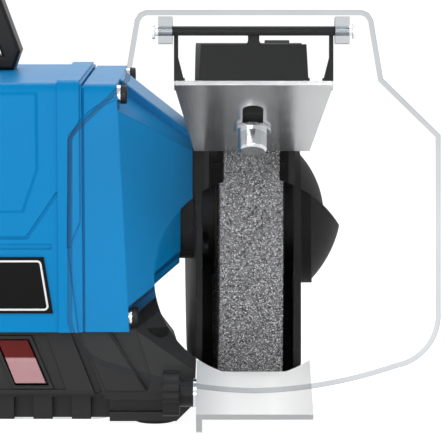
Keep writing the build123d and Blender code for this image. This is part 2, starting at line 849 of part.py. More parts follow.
# outer cover with its dome over the spindle nut
dome_foot = cover_thick + dome_step
dome_rise = dome_x - guard_outer_x - dome_foot
ball = (dome_radius**2 + dome_rise**2) / (2 * dome_rise)
dome_top = dome_foot + dome_rise
dome_inside = dome_radius - dome_skin
dome_inside_x = dome_top - ball + ((ball - dome_skin) ** 2 - dome_inside**2) ** 0.5
dome_plane = Plane(origin=(guard_end, 0, axis_height), x_dir=(1, 0, 0), z_dir=(0, -1, 0))
with BuildPart() as cover:
    with BuildSketch(side_plane(guard_end)):
        Circle(guard_radius)
        with Locations(*ring(ear_ring, ear_angles)):
            Circle(ear_radius)
    extrude(amount=cover_thick)
    with BuildSketch(dome_plane):
        with BuildLine():
            Line((0, 0), (dome_top, 0))
            RadiusArc((dome_top, 0), (dome_foot, dome_radius), -ball)
            Polyline((dome_foot, dome_radius), (dome_foot, dome_step_radius), (0, dome_step_radius), (0, 0))
        make_face()
    revolve(axis=Axis((0, 0, axis_height), (1, 0, 0)))
    with BuildSketch(dome_plane):
        with BuildLine():
            Line((0, 0), (dome_top - dome_skin, 0))
            RadiusArc((dome_top - dome_skin, 0), (dome_inside_x, dome_inside), dome_skin - ball)
            Polyline((dome_inside_x, dome_inside), (0, dome_inside), (0, 0))
        make_face()
    revolve(axis=Axis((0, 0, axis_height), (1, 0, 0)), mode=Mode.SUBTRACT)
    with BuildSketch(side_plane(guard_end)):
        with BuildLine():
            Polyline(*mouth_points(), close=True)
        make_face()
        with Locations(*ring(ear_ring, ear_angles)):
            Circle(cover_screw_radius + gap)
    extrude(amount=cover_thick, mode=Mode.SUBTRACT)
    with BuildSketch(side_plane(guard_end + cover_thick)):
        Circle(guard_radius)
        Circle(guard_radius - guard_lip_height, mode=Mode.SUBTRACT)
        with BuildLine():
            Polyline(*hood_points(), close=True)
        make_face(mode=Mode.INTERSECT)
    extrude(amount=cover_lip)
save_both(cover.part, "guard_cover")

with BuildPart() as cover_screws:
    for radius, length in (
        (cover_screw_head, cover_screw_head_thick), (cover_screw_radius, 1 - cover_thick - ear_length),
    ):
        with BuildSketch(side_plane(guard_end + cover_thick)):
            with Locations(*ring(ear_ring, ear_angles)):
                Circle(radius)
        extrude(amount=length)
save_group(cover_screws.part, "cover_screws")

# spark guard: slotted sheet that widens toward the operator
with BuildPart() as spark_guard:
    with BuildSketch(spark_plane):
        with BuildLine():
            Polyline(
                (0, -spark_back_width / 2), (spark_length, -spark_front_width / 2),
                (spark_length, spark_front_width / 2), (0, spark_back_width / 2), close=True,
            )
        make_face()
        with Locations(((slot_back + slot_front) / 2, 0)):
            SlotCenterToCenter(slot_front - slot_back, slot_width, mode=Mode.SUBTRACT)
    extrude(amount=sheet)
save_both(spark_guard.part, "spark_guard")

# bolt through the lug and the sheet's slot, with a washer and a cap nut below
nut_level = -slide_gap - washer_thick
with BuildPart() as spark_bolt:
    with BuildSketch(spark_plane.offset(bolt_level)):
        with Locations((bolt_along, 0)):
            RegularPolygon(bolt_across / 2, 6, major_radius=False)
    extrude(amount=bolt_head_thick)
    with BuildSketch(spark_plane.offset(bolt_level)):
        with Locations((bolt_along, 0)):
            Circle(bolt_radius)
    extrude(amount=nut_level - cap_nut_thread + gap - bolt_level)
save_group(spark_bolt.part, "spark_bolts")

with BuildPart() as spark_washer:
    with BuildSketch(spark_plane.offset(-slide_gap)):
        with Locations((bolt_along, 0)):
            Circle(washer_radius)
            Circle(bolt_radius + hole_play / 2, mode=Mode.SUBTRACT)
    extrude(amount=-washer_thick)
save_group(spark_washer.part, "spark_washers")

with BuildPart() as spark_nut:
    with BuildSketch(spark_plane.offset(nut_level)):
        with Locations((bolt_along, 0)):
            Circle(cap_nut_radius)
    extrude(amount=-cap_nut_length)
    fillet(spark_nut.edges().group_by(Axis(spark_plane.origin, spark_plane.z_dir))[0], cap_nut_round)
    with BuildSketch(spark_plane.offset(nut_level)):
        with Locations((bolt_along, 0)):
            Circle(bolt_radius + press)
    extrude(amount=-cap_nut_thread, mode=Mode.SUBTRACT)
save_group(spark_nut.part, "spark_nuts")

# bracket on the spark guard: middle panel, two flared legs and the rod that the eye shield hangs on
sheet_top = spark_plane.offset(sheet)
leg_outer = spark_front_width / 2
with BuildPart() as bracket:
    with BuildSketch(shield_plane.offset(-bracket_back)) as upright:
        with BuildLine():
            Polyline(
                (-panel_top_half, -panel_drop), (panel_top_half, -panel_drop),
                (panel_foot_half, -bracket_drop),
                (-panel_foot_half, -bracket_drop), close=True,
            )
        make_face()
        with Locations((0, -panel_drop / 2)):
            Rectangle(2 * tongue_half, panel_drop)
        fillet(upright.vertices().group_by(Axis.Y)[-2].sort_by(Axis.X)[1:3], tongue_fillet)
        with BuildLine():
            Polyline(
                (leg_outer, 0), (leg_outer, -bracket_drop), (leg_outer - leg_foot_width, -bracket_drop),
                (leg_outer - leg_foot_width, -leg_flare_end), (leg_outer - leg_width, -leg_flare_start),
                (leg_outer - leg_width, 0), close=True,
            )
        leg = make_face()
        mirror(leg, about=Plane.YZ)
    extrude(amount=sheet)
    split(bisect_by=sheet_top, keep=Keep.TOP)
    with BuildSketch(sheet_top):
        pad_half = leg_foot_width / 2
        pad_x = leg_outer - pad_half
        for middle, half in ((-pad_x, pad_half), (0, panel_foot_half), (pad_x, pad_half)):
            with Locations((spark_length - foot_setback - foot_depth / 2, middle)):
                Rectangle(foot_depth, 2 * half)
    extrude(amount=foot_thick)
    for radius, start, length in (
        (rod_radius, -rod_half, 2 * rod_half),
        (rod_head, -rod_half - rod_head_thick, rod_head_thick),
        (rod_head, rod_half, rod_head_thick),
    ):
        with BuildSketch(side_plane(wheel_x + start)):
            with Locations((rod_y, rod_z)):
                Circle(radius)
        extrude(amount=length)
save_both(bracket.part, "shield_rod")

# eye shield: clear sheet with shoulders, a swept lower edge and two ears round the rod
with BuildPart() as shield:
    with BuildSketch(shield_plane.offset(shield_stand)) as sheet_outline:
        with BuildLine():
            side_end = (shield_half, -shield_side_drop)
            sweep_end = (shield_sweep[0], -shield_sweep[1])
            Polyline(
                (0, shield_top), (shield_top_half, shield_top), (shield_neck_half, -shield_neck_drop),
                (shield_half, -shield_shoulder_drop), side_end,
            )
            ThreePointArc(side_end, (shield_corner[0], -shield_corner[1]), sweep_end)
            ThreePointArc(sweep_end, (shield_sweep_mid[0], -shield_sweep_mid[1]), (0, -shield_bottom_drop))
            mirror(about=Plane.YZ)
        make_face()
        fillet(sheet_outline.vertices().group_by(Axis.Y)[-1], shield_top_fillet)
        with Locations((0, -lens_drop)):
            Circle(lens_radius + turning, mode=Mode.SUBTRACT)
    extrude(amount=shield_thick)
    for inner in (-shield_ear_outer, shield_ear_inner):
        ear_plane = Plane(
            origin=shield_plane.origin + Vector(inner, 0, 0), x_dir=shield_plane.z_dir, z_dir=(1, 0, 0)
        )
        with BuildSketch(ear_plane):
            Circle(shield_ear_radius)
            with Locations(((shield_stand + shield_thick / 2) / 2, 0)):
                Rectangle(shield_stand + shield_thick / 2, 2 * shield_ear_radius)
        extrude(amount=shield_ear_width)
        with BuildSketch(ear_plane):
            Circle(rod_radius + turning)
        extrude(amount=shield_ear_width, mode=Mode.SUBTRACT)
save_both(shield.part, "eye_shield")

# magnifying lens let into the shield, flat at the back and domed to the operator
lens_plane = Plane(
    origin=shield_plane.from_local_coords((0, -lens_drop, shield_stand)),
    x_dir=shield_plane.x_dir,
    z_dir=shield_plane.y_dir,
)
lens_sag = lens_curve - (lens_curve**2 - lens_radius**2) ** 0.5
with BuildPart() as lens:
    with BuildSketch(lens_plane):
        with BuildLine():
            Polyline((0, -shield_thick - lens_sag), (0, 0), (lens_radius, 0), (lens_radius, -shield_thick))
            RadiusArc((lens_radius, -shield_thick), (0, -shield_thick - lens_sag), lens_curve)
        make_face()
    revolve(axis=Axis(lens_plane.origin, shield_plane.z_dir))
save_both(lens.part, "magnifier")

# tool rest: plate with a slotted cheek bent down along the guard
rest_low = rest_rise - rest_thick
rest_front = rest_back - rest_length
cheek_back = rest_out + stud_radius + 5
with BuildPart() as rest:
    with BuildSketch(rest_plane.offset(rest_left)):
        with Locations((rest_back - rest_length / 2, rest_rise - rest_thick / 2)):
            Rectangle(rest_length, rest_thick)
    extrude(amount=rest_right - rest_left)
    with BuildSketch(rest_plane.offset(rest_left)):
        with BuildLine():
            Polyline(
                (rest_front, rest_low), (rest_front, rest_low - rest_cheek_front),
                (-rest_in - rest_cheek_drop, -rest_cheek_drop), (cheek_back, -rest_cheek_drop),
                (cheek_back, rest_low - 3), (rest_back, rest_low), close=True,
            )
        make_face()
        with Locations(((rest_out - rest_in) / 2, 0)):
            SlotCenterToCenter(rest_out + rest_in, 2 * (stud_radius + gap) + hole_play, mode=Mode.SUBTRACT)
    extrude(amount=rest_thick)
save_both(rest.part, "tool_rest")

# washer, knob and stud that clamp the rest
stud_place = (stud_y, stud_z)
washer_face = wheel_x + rest_left - 0.1
knob_face = washer_face - rest_washer_thick - 0.1
with BuildPart() as rest_washer:
    with BuildSketch(side_plane(washer_face)):
        with Locations(stud_place):
            Circle(rest_washer_radius)
            Circle(stud_radius + hole_play / 2, mode=Mode.SUBTRACT)
    extrude(amount=-rest_washer_thick)
save_both(rest_washer.part, "rest_washer")

with BuildPart() as knob:
    with BuildSketch(side_plane(knob_face)):
        with Locations(stud_place):
            Circle(knob_neck_radius)
    extrude(amount=-knob_neck_length)
    with BuildSketch(side_plane(knob_face - knob_neck_length)):
        with Locations(stud_place):
            Circle(knob_radius)
            with PolarLocations(knob_radius - 1.2, knob_lobes):
                Circle(knob_lobe_radius)
    extrude(amount=-knob_length)
    with BuildSketch(side_plane(knob_face)):
        with Locations(stud_place):
            Circle(stud_radius + press)
    extrude(amount=-knob_hole, mode=Mode.SUBTRACT)
save_both(knob.part, "rest_knob")

with BuildPart() as stud:
    stud_start = knob_face - knob_hole + 0.2
    with BuildSketch(side_plane(stud_start)):
        with Locations(stud_place):
            Circle(stud_radius)
    extrude(amount=guard_start + rest_boss_thick - 0.5 - stud_start)
save_both(stud.part, "rest_stud")

# base: flared black moulding, hollow underneath, with slanting lines and a bay for the switch on its front
base_peak_z = base_top + base_peak_rise
slope_rise = base_top - skirt_top
slope_length = (slope_rise**2 + (base_half_depth - base_top_half_depth) ** 2) ** 0.5
slope = Plane(
    origin=(0, -base_half_depth, skirt_top),
    x_dir=(1, 0, 0),
    z_dir=(0, -slope_rise, base_half_depth - base_top_half_depth),
)
bench_holes = [(x, y) for x in (-bench_hole_x, bench_hole_x) for y in (-bench_hole_y, bench_hole_y)]
plate_screws = [(x, y) for x in (-plate_screw_x, plate_screw_x) for y in (-plate_screw_y, plate_screw_y)]
gland_plane = Plane(
    origin=(gland_x, base_half_depth - skirt_setback, gland_z), x_dir=(1, 0, 0), z_dir=(0, 1, 0)
)
switch_plane = Plane(
    origin=slope.from_local_coords((switch_x, switch_up, -bay_depth)), x_dir=(1, 0, 0), z_dir=slope.z_dir
)
with BuildPart() as base:
    with BuildSketch(Plane.YZ.offset(-base_half_length)):
        with BuildLine():
            Polyline(
                (-base_half_depth, base_bottom), (base_half_depth, base_bottom),
                (base_half_depth, skirt_top),
                (base_top_half_depth, base_top), (base_peak_half_depth, base_peak_z),
                (-base_peak_half_depth, base_peak_z), (-base_top_half_depth, base_top),
                (-base_half_depth, skirt_top), close=True,
            )
        make_face()
    extrude(amount=2 * base_half_length)
    # both ends rise to a peak, fall away from it and are cut under
    with BuildSketch(Plane.XZ.offset(-2 * base_half_depth)):
        with BuildLine():
            Polyline(
                (-base_foot_half_length, base_bottom), (base_foot_half_length, base_bottom),
                (base_half_length, base_end_low_z), (base_half_length, base_end_high_z),
                (base_peak_x, base_peak_z), (base_top_half_length, base_top),
                (-base_top_half_length, base_top), (-base_peak_x, base_peak_z),
                (-base_half_length, base_end_high_z), (-base_half_length, base_end_low_z), close=True,
            )
        make_face()
    extrude(amount=4 * base_half_depth, mode=Mode.INTERSECT)
    # its top keeps clear of the underside of the motor and of the tapered end bells
    with BuildSketch(Plane.XZ.offset(-2 * base_half_depth)):
        with BuildLine():
            Polyline(
                (0, base_top), (bell_low_x, base_top), (bell_end_x, bell_end_bottom - gap),
                (bell_end_x, housing_top), (0, housing_top), close=True,
            )
        bell_room = make_face()
        mirror(bell_room, about=Plane.YZ)
    extrude(amount=4 * base_half_depth, mode=Mode.SUBTRACT)
    # a slanting cut over each corner, from the top edge down to the end and back to the peak
    for side in (-1, 1):
        for way in (-1, 1):
            cut_start = Vector(side * base_top_half_length, way * base_top_half_depth, base_top)
            cut_end = Vector(side * base_half_length, way * (base_half_depth - 1), base_cut_z)
            cut_peak = Vector(side * base_peak_x, way * base_peak_half_depth, base_peak_z)
            outward = (cut_end - cut_start).cross(cut_peak - cut_start)
            split(bisect_by=Plane(origin=cut_start, z_dir=-side * way * outward), keep=Keep.BOTTOM)
    # raised end panels on the front slope
    with BuildSketch(slope):
        with BuildLine():
            left, right = end_panel_x
            panel_rim = slope_length - end_panel_rise
            Polyline(
                (left, panel_rim), (right, panel_rim), (right + end_panel_slant * panel_rim, 0),
                (left + slant * panel_rim, 0), close=True,
            )
        end_panel = make_face()
        mirror(end_panel, about=Plane.YZ)
    extrude(amount=end_panel_rise)
    # hollows beside the end panels
    with BuildSketch(slope):
        with BuildLine():
            foot_x = right + end_panel_slant * slope_length
            Polyline(
                (right, slope_length + 1), (hollow_x, slope_length + 1), (foot_x + 1.5, slope_length / 4),
                (foot_x, 0), close=True,
            )
        hollow = make_face()
        mirror(hollow, about=Plane.YZ)
    extrude(amount=-hollow_depth, mode=Mode.SUBTRACT)
    # slanting grooves between the end panels and the middle
    with BuildSketch(slope):
        for side in (-1, 1):
            with BuildLine():
                Line((side * rib_x, slope_length + 1), (side * (rib_x + slant * slope_length), -1))
            trace(line_width=rib_width)
    extrude(amount=-rib_depth, mode=Mode.SUBTRACT)
    # bay for the switch
    with BuildSketch(slope):
        with BuildLine():
            bay_top = bay_margin + bay_height
            Polyline(
                (-bay_half, bay_top), (bay_half, bay_top), (bay_low_half, bay_margin),
                (-bay_low_half, bay_margin),
                close=True,
            )
        make_face()
    extrude(amount=-bay_depth, mode=Mode.SUBTRACT)
    with BuildSketch(switch_plane):
        with BuildLine():
            Polyline(*slanted(switch_opening), close=True)
        make_face()
    extrude(amount=-switch_body_depth - 2, mode=Mode.SUBTRACT)
    # the skirt between the feet is set back and fluted, front and back
    for y in (-base_half_depth, base_half_depth):
        with BuildSketch(Plane.XY.offset(base_bottom)):
            with Locations((0, y)):
                Rectangle(2 * skirt_half_length, 2 * skirt_setback)
        extrude(amount=skirt_height - base_bottom, mode=Mode.SUBTRACT)
        with BuildSketch(Plane.XY.offset(base_bottom)):
            with Locations((0, y)):
                with GridLocations(flute_pitch, 0, flute_count, 1):
                    Rectangle(flute_pitch / 2, 2 * (skirt_setback + flute_depth))
        extrude(amount=skirt_height - base_bottom - 2, mode=Mode.SUBTRACT)
        with BuildSketch(Plane.XY.offset(toe_groove[0])):
            for side in (-1, 1):
                with Locations((side * (toe_groove_x[0] + toe_groove_x[1]) / 2, y)):
                    Rectangle(toe_groove_x[1] - toe_groove_x[0], 2 * toe_groove_depth)
        extrude(amount=toe_groove[1] - toe_groove[0], mode=Mode.SUBTRACT)
    # cradle for the stator and the hollow underside
    with BuildSketch(side_plane(-housing_seam_x)):
        Circle(motor_bore)
    extrude(amount=2 * housing_seam_x, mode=Mode.SUBTRACT)
    with BuildSketch(Plane.XY.offset(base_bottom)):
        RectangleRounded(2 * cavity_half_length, 2 * cavity_half_depth, cavity_corner)
    extrude(amount=cavity_top - base_bottom, mode=Mode.SUBTRACT)
    # bench bolt holes with wells above and sockets for the rubber feet below
    for radius, low, high in (
        (bench_hole_radius, 0, base_top), (bench_well_radius, bench_well_floor, base_top),
        (foot_radius, 0, base_bottom + foot_sink),
    ):
        with BuildSketch(Plane.XY.offset(low)):
            with Locations(*bench_holes):
                Circle(radius)
        extrude(amount=high - low, mode=Mode.SUBTRACT)
    # seat and hole for the cable gland in the back, and holes for the bottom plate's screws
    with BuildSketch(gland_plane):
        Circle(gland_hex + spot_play)
    extrude(amount=2 * skirt_setback, mode=Mode.SUBTRACT)
    with BuildSketch(gland_plane):
        Circle(gland_thread + hole_play)
    extrude(amount=-gland_depth - 2, mode=Mode.SUBTRACT)
    with BuildSketch(Plane.XY.offset(base_bottom)):
        with Locations(*plate_screws):
            Circle(plate_screw_radius + hole_play / 2)
    extrude(amount=plate_screw_length, mode=Mode.SUBTRACT)
save(base.part, "base")

with BuildPart() as base_plate:
    with BuildSketch(Plane.XY.offset(base_bottom - bottom_plate_thick)):
        RectangleRounded(
            2 * (cavity_half_length + bottom_plate_end),
            2 * (cavity_half_depth + bottom_plate_margin), cavity_corner
        )
        with Locations(*plate_screws):
            Circle(plate_screw_radius + gap, mode=Mode.SUBTRACT)
    extrude(amount=bottom_plate_thick)
save(base_plate.part, "base_plate")

with BuildPart() as base_plate_screws:
    for radius, length in (
        (plate_screw_radius, plate_screw_length), (plate_screw_head, -plate_screw_head_thick),
    ):
        with BuildSketch(Plane.XY.offset(base_bottom - bottom_plate_thick)):
            with Locations(*plate_screws):
                Circle(radius)
        extrude(amount=length)
save(base_plate_screws.part, "base_plate_screws")

with BuildPart() as feet:
    with BuildSketch():
        with Locations(*bench_holes):
            Circle(foot_radius - hole_play / 2)
            Circle(bench_hole_radius, mode=Mode.SUBTRACT)
    extrude(amount=base_bottom + foot_sink)
save(feet.part, "rubber_feet")

# rocker switch: frame with its body behind the panel, and the rocker itself
with BuildPart() as switch_frame:
    for outline, level, depth, mode in (
        (bezel, 0, bezel_thick, Mode.ADD),
        (switch_body, 0, -switch_body_depth, Mode.ADD),
        (switch_well, bezel_thick, -switch_well_depth, Mode.SUBTRACT),
    ):
        with BuildSketch(switch_plane.offset(level)):
            with BuildLine():
                Polyline(*slanted(outline), close=True)
            make_face()
        extrude(amount=depth, mode=mode)
save(switch_frame.part, "switch_frame")

rocker_up = switch_plane.y_dir * cos(radians(rocker_throw)) - switch_plane.z_dir * sin(radians(rocker_throw))
rocker_start = switch_plane.origin - Vector(rocker_width, 0, 0)
rocker_plane = Plane(origin=rocker_start, x_dir=rocker_up, z_dir=(1, 0, 0))
with BuildPart() as rocker:
    with BuildSketch(rocker_plane):
        with BuildLine():
            Polyline(
                (-rocker_half, 0.5), (-rocker_half, rocker_peak), (0, rocker_dip),
                (rocker_half, rocker_peak),
                (rocker_half, 0.5), (rocker_root_half, -rocker_root),
                (-rocker_root_half, -rocker_root), close=True,
            )
        make_face()
    extrude(amount=2 * rocker_width)
    with BuildSketch(switch_plane.offset(-switch_body_depth)):
        with BuildLine():
            Polyline(*slanted((rocker_width, 3 * rocker_half)), close=True)
        make_face()
    extrude(amount=3 * switch_body_depth, mode=Mode.INTERSECT)
save(rocker.part, "switch_rocker")

# plain plate on the front of the housing
with BuildPart() as nameplate:
    with BuildSketch(face):
        with BuildLine():
            Polyline(
                (-plate_half, plate_top_z), (plate_half, plate_top_z), (plate_low_half, plate_low_z),
                (-plate_low_half, plate_low_z), close=True,
            )
        make_face()
    extrude(amount=plate_thick)
save(nameplate.part, "nameplate")

# carry handle: closed loop with splayed legs on a low saddle
knee_z = housing_top + handle_knee
crown_z = housing_top + handle_height
crown_half = handle_knee_half - (crown_z - knee_z) * handle_splay
with BuildPart() as handle:
    with BuildSketch(Plane.XZ.offset(-handle_y - handle_half_depth)) as loop:
        with BuildLine():
            Polyline(
                (-handle_foot_half, housing_top), (handle_foot_half, housing_top),
                (handle_knee_half, knee_z),
                (crown_half, crown_z), (-crown_half, crown_z), (-handle_knee_half, knee_z), close=True,
            )
        make_face()
        fillet(loop.vertices().group_by(Axis.Y)[-1], handle_corner)
        with BuildLine():
            low_half = handle_knee_half - handle_leg
            high_half = crown_half - handle_leg + 2
            Polyline(
                (-low_half, housing_top + handle_saddle), (low_half, housing_top + handle_saddle),
                (high_half, crown_z - handle_leg), (-high_half, crown_z - handle_leg), close=True,
            )
        make_face(mode=Mode.SUBTRACT)
    extrude(amount=2 * handle_half_depth)
    fillet(handle.edges().filter_by(Plane.XZ), handle_edge)
    with BuildSketch(Plane.XY.offset(housing_top)):
        with Locations(*handle_screws_at):
            Circle(handle_screw_radius + hole_play / 2)
    extrude(amount=handle_screw_bite + 0.5, mode=Mode.SUBTRACT)
save(handle.part, "carry_handle")

# screws that hold the handle from inside the housing
with BuildPart() as handle_screws:
    for radius, length in (
        (handle_screw_head, -handle_screw_head_thick),
        (handle_screw_radius, handle_screw_roof + handle_screw_bite),
    ):
        with BuildSketch(Plane.XY.offset(handle_head_top)):
            with Locations(*handle_screws_at):
                Circle(radius)
        extrude(amount=length)
save(handle_screws.part, "handle_screws")

# run capacitor in the base and the cable gland in its back
with BuildPart() as capacitor:
    with BuildSketch(Plane.YZ.offset(-can_length / 2)):
        with Locations((0, cavity_top - gap - can_radius)):
            Circle(can_radius)
    extrude(amount=can_length)
save(capacitor.part, "run_capacitor")

with BuildPart() as gland:
    for radius, level, length in (
        (gland_thread, 0, -gland_depth), (gland_cap, gland_hex_thick, gland_cap_thick),
    ):
        with BuildSketch(gland_plane.offset(level)):
            Circle(radius)
            Circle(gland_bore, mode=Mode.SUBTRACT)
        extrude(amount=length)
    with BuildSketch(gland_plane):
        RegularPolygon(gland_hex, 6)
        Circle(gland_bore, mode=Mode.SUBTRACT)
    extrude(amount=gland_hex_thick)
save(gland.part, "cable_gland")
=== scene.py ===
import json
import math

import bmesh
import bpy
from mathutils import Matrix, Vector
from mathutils.geometry import tessellate_polygon


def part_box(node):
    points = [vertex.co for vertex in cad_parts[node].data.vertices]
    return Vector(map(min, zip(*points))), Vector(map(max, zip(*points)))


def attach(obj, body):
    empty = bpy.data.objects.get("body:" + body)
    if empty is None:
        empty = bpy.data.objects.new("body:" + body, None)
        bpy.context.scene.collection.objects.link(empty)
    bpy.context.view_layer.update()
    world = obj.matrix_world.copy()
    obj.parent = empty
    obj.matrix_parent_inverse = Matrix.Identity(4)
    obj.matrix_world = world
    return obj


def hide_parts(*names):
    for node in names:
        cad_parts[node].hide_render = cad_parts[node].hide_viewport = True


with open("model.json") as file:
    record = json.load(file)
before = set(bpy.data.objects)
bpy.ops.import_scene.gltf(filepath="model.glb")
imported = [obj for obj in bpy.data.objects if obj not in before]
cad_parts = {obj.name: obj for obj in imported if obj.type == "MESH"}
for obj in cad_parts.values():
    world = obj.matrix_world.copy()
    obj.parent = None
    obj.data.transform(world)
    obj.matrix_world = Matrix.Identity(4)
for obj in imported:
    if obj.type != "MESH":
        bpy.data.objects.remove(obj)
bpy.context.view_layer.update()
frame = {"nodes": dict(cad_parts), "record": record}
nodes = frame["nodes"]
scene = bpy.context.scene
print("frame loaded:", len(nodes), "nodes")

mm = 0.001
axisHeight = 88 * mm    # spindle above the bench
wheelX = 165 * mm       # middle plane of each wheel
sides = {"right": 1, "left": -1}
fullCircle = 2 * math.pi


# sRGB hex to the linear colour that a shader takes
def hexColor(code):
    channels = [int(code[i:i + 2], 16) / 255 for i in (0, 2, 4)]
    linear = [c / 12.92 if c <= 0.04045 else ((c + 0.055) / 1.055) ** 2.4 for c in channels]
    return (*linear, 1.0)


# adds a node: inputs by name or number take a value or another node's output, the rest are its settings
def add(tree, kind, inputs=None, **settings):
    made = tree.nodes.new(kind)
    for key, value in settings.items():
        setattr(made, key, value)
    for key, value in (inputs or {}).items():
        if isinstance(value, bpy.types.NodeSocket):
            tree.links.new(value, made.inputs[key])
        else:
            made.inputs[key].default_value = value
    return made


def newMaterial(name):
    made = bpy.data.materials.new(name)
    made.use_nodes = True
    made.node_tree.nodes.clear()
    return made, made.node_tree


# the looks below give sizes in millimetres, such as grain, lines, relief and the rounding of edges

# enamel, moulded plastic, rubber and paper: two close tones drift over the surface, with a fine relief in
# the skin, drawn coarser than the real one so that it shows, and rounded edges that catch the light
def paintedOrMoulded(look):
    driftSize = 35 * mm
    glossSpread = 0.05
    made, tree = newMaterial(look["name"])
    coords = add(tree, "ShaderNodeTexCoord").outputs["Object"]
    drift = add(tree, "ShaderNodeTexNoise", {
        "Vector": coords, "Scale": 1 / driftSize, "Detail": 4,
    }).outputs["Fac"]
    tone = add(tree, "ShaderNodeMix", {
        0: drift, 6: hexColor(look["low"]), 7: hexColor(look["high"]),
    }, data_type="RGBA")
    fine = add(tree, "ShaderNodeTexNoise", {
        "Vector": coords, "Scale": 1 / (look["grain"] * mm), "Detail": 2,
    })
    gloss = add(tree, "ShaderNodeMapRange", {
        "Value": drift, "To Min": look["rough"] - glossSpread, "To Max": look["rough"] + glossSpread,
    })
    edge = add(tree, "ShaderNodeBevel", {"Radius": look["edge"] * mm}, samples=4)
    relief = add(tree, "ShaderNodeBump", {
        "Strength": 0.8, "Distance": look["relief"] * mm, "Height": fine.outputs["Fac"],
        "Normal": edge.outputs[0],
    })
    skin = add(tree, "ShaderNodeBsdfPrincipled", {
        "Base Color": tone.outputs[2], "Roughness": gloss.outputs[0], "Normal": relief.outputs[0],
        "Specular IOR Level": look["shine"],
    })
    add(tree, "ShaderNodeOutputMaterial", {"Surface": skin.outputs[0]})
    return made


# bare and plated metal: drawn lines along one direction, wider apart than the real ones so that they show,
# and smudges that break up the gloss
def bareMetal(look):
    smudgeSize = 12 * mm
    lineDepth = 0.02 * mm
    clean, wearAndPaintedLight = 0.8, 1.4      # shares of the roughness
    made, tree = newMaterial(look["name"])
    coords = add(tree, "ShaderNodeTexCoord").outputs["Object"]
    stretched = add(tree, "ShaderNodeMapping", {
        "Vector": coords, "Scale": [1 / (s * mm) for s in look["lines"]],
    })
    streak = add(tree, "ShaderNodeTexNoise", {
        "Vector": stretched.outputs[0], "Scale": 1, "Detail": 3,
    }).outputs["Fac"]
    smudge = add(tree, "ShaderNodeTexNoise", {
        "Vector": coords, "Scale": 1 / smudgeSize, "Detail": 3,
    }).outputs["Fac"]
    both = add(tree, "ShaderNodeMath", {0: streak, 1: smudge}, operation="MULTIPLY").outputs[0]
    gloss = add(tree, "ShaderNodeMapRange", {
        "Value": both, "From Max": 0.5, "To Min": look["rough"] * clean, "To Max": look["rough"] * wearAndPaintedLight,
    })
    tone = add(tree, "ShaderNodeMix", {
        0: smudge, 6: hexColor(look["low"]), 7: hexColor(look["high"]),
    }, data_type="RGBA")
    edge = add(tree, "ShaderNodeBevel", {"Radius": look["edge"] * mm}, samples=4)
    relief = add(tree, "ShaderNodeBump", {
        "Strength": look["depth"], "Distance": lineDepth, "Height": streak, "Normal": edge.outputs[0],
    })
    skin = add(tree, "ShaderNodeBsdfPrincipled", {
        "Base Color": tone.outputs[2], "Metallic": look["metal"], "Roughness": gloss.outputs[0],
        "Normal": relief.outputs[0],
    })
    add(tree, "ShaderNodeOutputMaterial", {"Surface": skin.outputs[0]})
    return made


# bright rolled steel of the tool rests: nearly white in front of the wheel and duller to both ends, as
# painted light and shade, and grey on the faces turned to the front and back, partly the sheared edges'
# own grey and partly painted shade that outlines them
def wornRestSteel(look):
    lineDepth = 0.02 * mm
    made, tree = newMaterial(look["name"])
    coords = add(tree, "ShaderNodeTexCoord").outputs["Object"]
    x = add(tree, "ShaderNodeSeparateXYZ", {0: coords}).outputs["X"]
    across = add(tree, "ShaderNodeMath", {0: x}, operation="ABSOLUTE").outputs[0]
    offset = add(tree, "ShaderNodeMath", {0: across, 1: wheelX}, operation="SUBTRACT").outputs[0]
    fromMiddle = add(tree, "ShaderNodeMath", {0: offset}, operation="ABSOLUTE").outputs[0]
    # painted light and shade: the colour is lightest in front of the wheel and darkens towards both ends
    paintedShadeShare = add(tree, "ShaderNodeMapRange", {
        "Value": fromMiddle, "From Min": look["paintedLightTo"] * mm, "From Max": look["paintedShadeFrom"] * mm,
    }).outputs[0]
    paintedLightTone = add(tree, "ShaderNodeMix", {
        0: paintedShadeShare, 6: hexColor(look["wearAndPaintedLight"]), 7: hexColor(look["paintedShadeTone"]),
    }, data_type="RGBA")
    normal = add(tree, "ShaderNodeNewGeometry").outputs["True Normal"]
    facing = add(tree, "ShaderNodeVectorTransform", {
        0: normal,
    }, vector_type="NORMAL", convert_from="WORLD", convert_to="OBJECT").outputs[0]
    along = add(tree, "ShaderNodeSeparateXYZ", {0: facing}).outputs["Y"]
    forward = add(tree, "ShaderNodeMath", {0: along}, operation="ABSOLUTE").outputs[0]
    # faces turned to the front and back are greyer: partly the sheared edges' own grey, partly painted
    # shade that outlines them
    shearedAndShadedMask = add(tree, "ShaderNodeMath", {
        0: forward, 1: look["shearedAndShadedFacing"],
    }, operation="GREATER_THAN").outputs[0]
    tone = add(tree, "ShaderNodeMix", {
        0: shearedAndShadedMask, 6: paintedLightTone.outputs[2], 7: hexColor(look["shearedAndShadedTone"]),
    }, data_type="RGBA")
    stretched = add(tree, "ShaderNodeMapping", {
        "Vector": coords, "Scale": [1 / (s * mm) for s in look["lines"]],
    })
    streak = add(tree, "ShaderNodeTexNoise", {
        "Vector": stretched.outputs[0], "Scale": 1, "Detail": 3,
    }).outputs["Fac"]
    gloss = add(tree, "ShaderNodeMapRange", {
        "Value": streak, "To Min": look["smooth"], "To Max": look["rough"],
    })
    edge = add(tree, "ShaderNodeBevel", {"Radius": look["edge"] * mm}, samples=4)
    relief = add(tree, "ShaderNodeBump", {
        "Strength": look["depth"], "Distance": lineDepth, "Height": streak, "Normal": edge.outputs[0],
    })
    skin = add(tree, "ShaderNodeBsdfPrincipled", {
        "Base Color": tone.outputs[2], "Metallic": look["metal"], "Roughness": gloss.outputs[0],
        "Normal": relief.outputs[0],
    })
    add(tree, "ShaderNodeOutputMaterial", {"Surface": skin.outputs[0]})
    return made


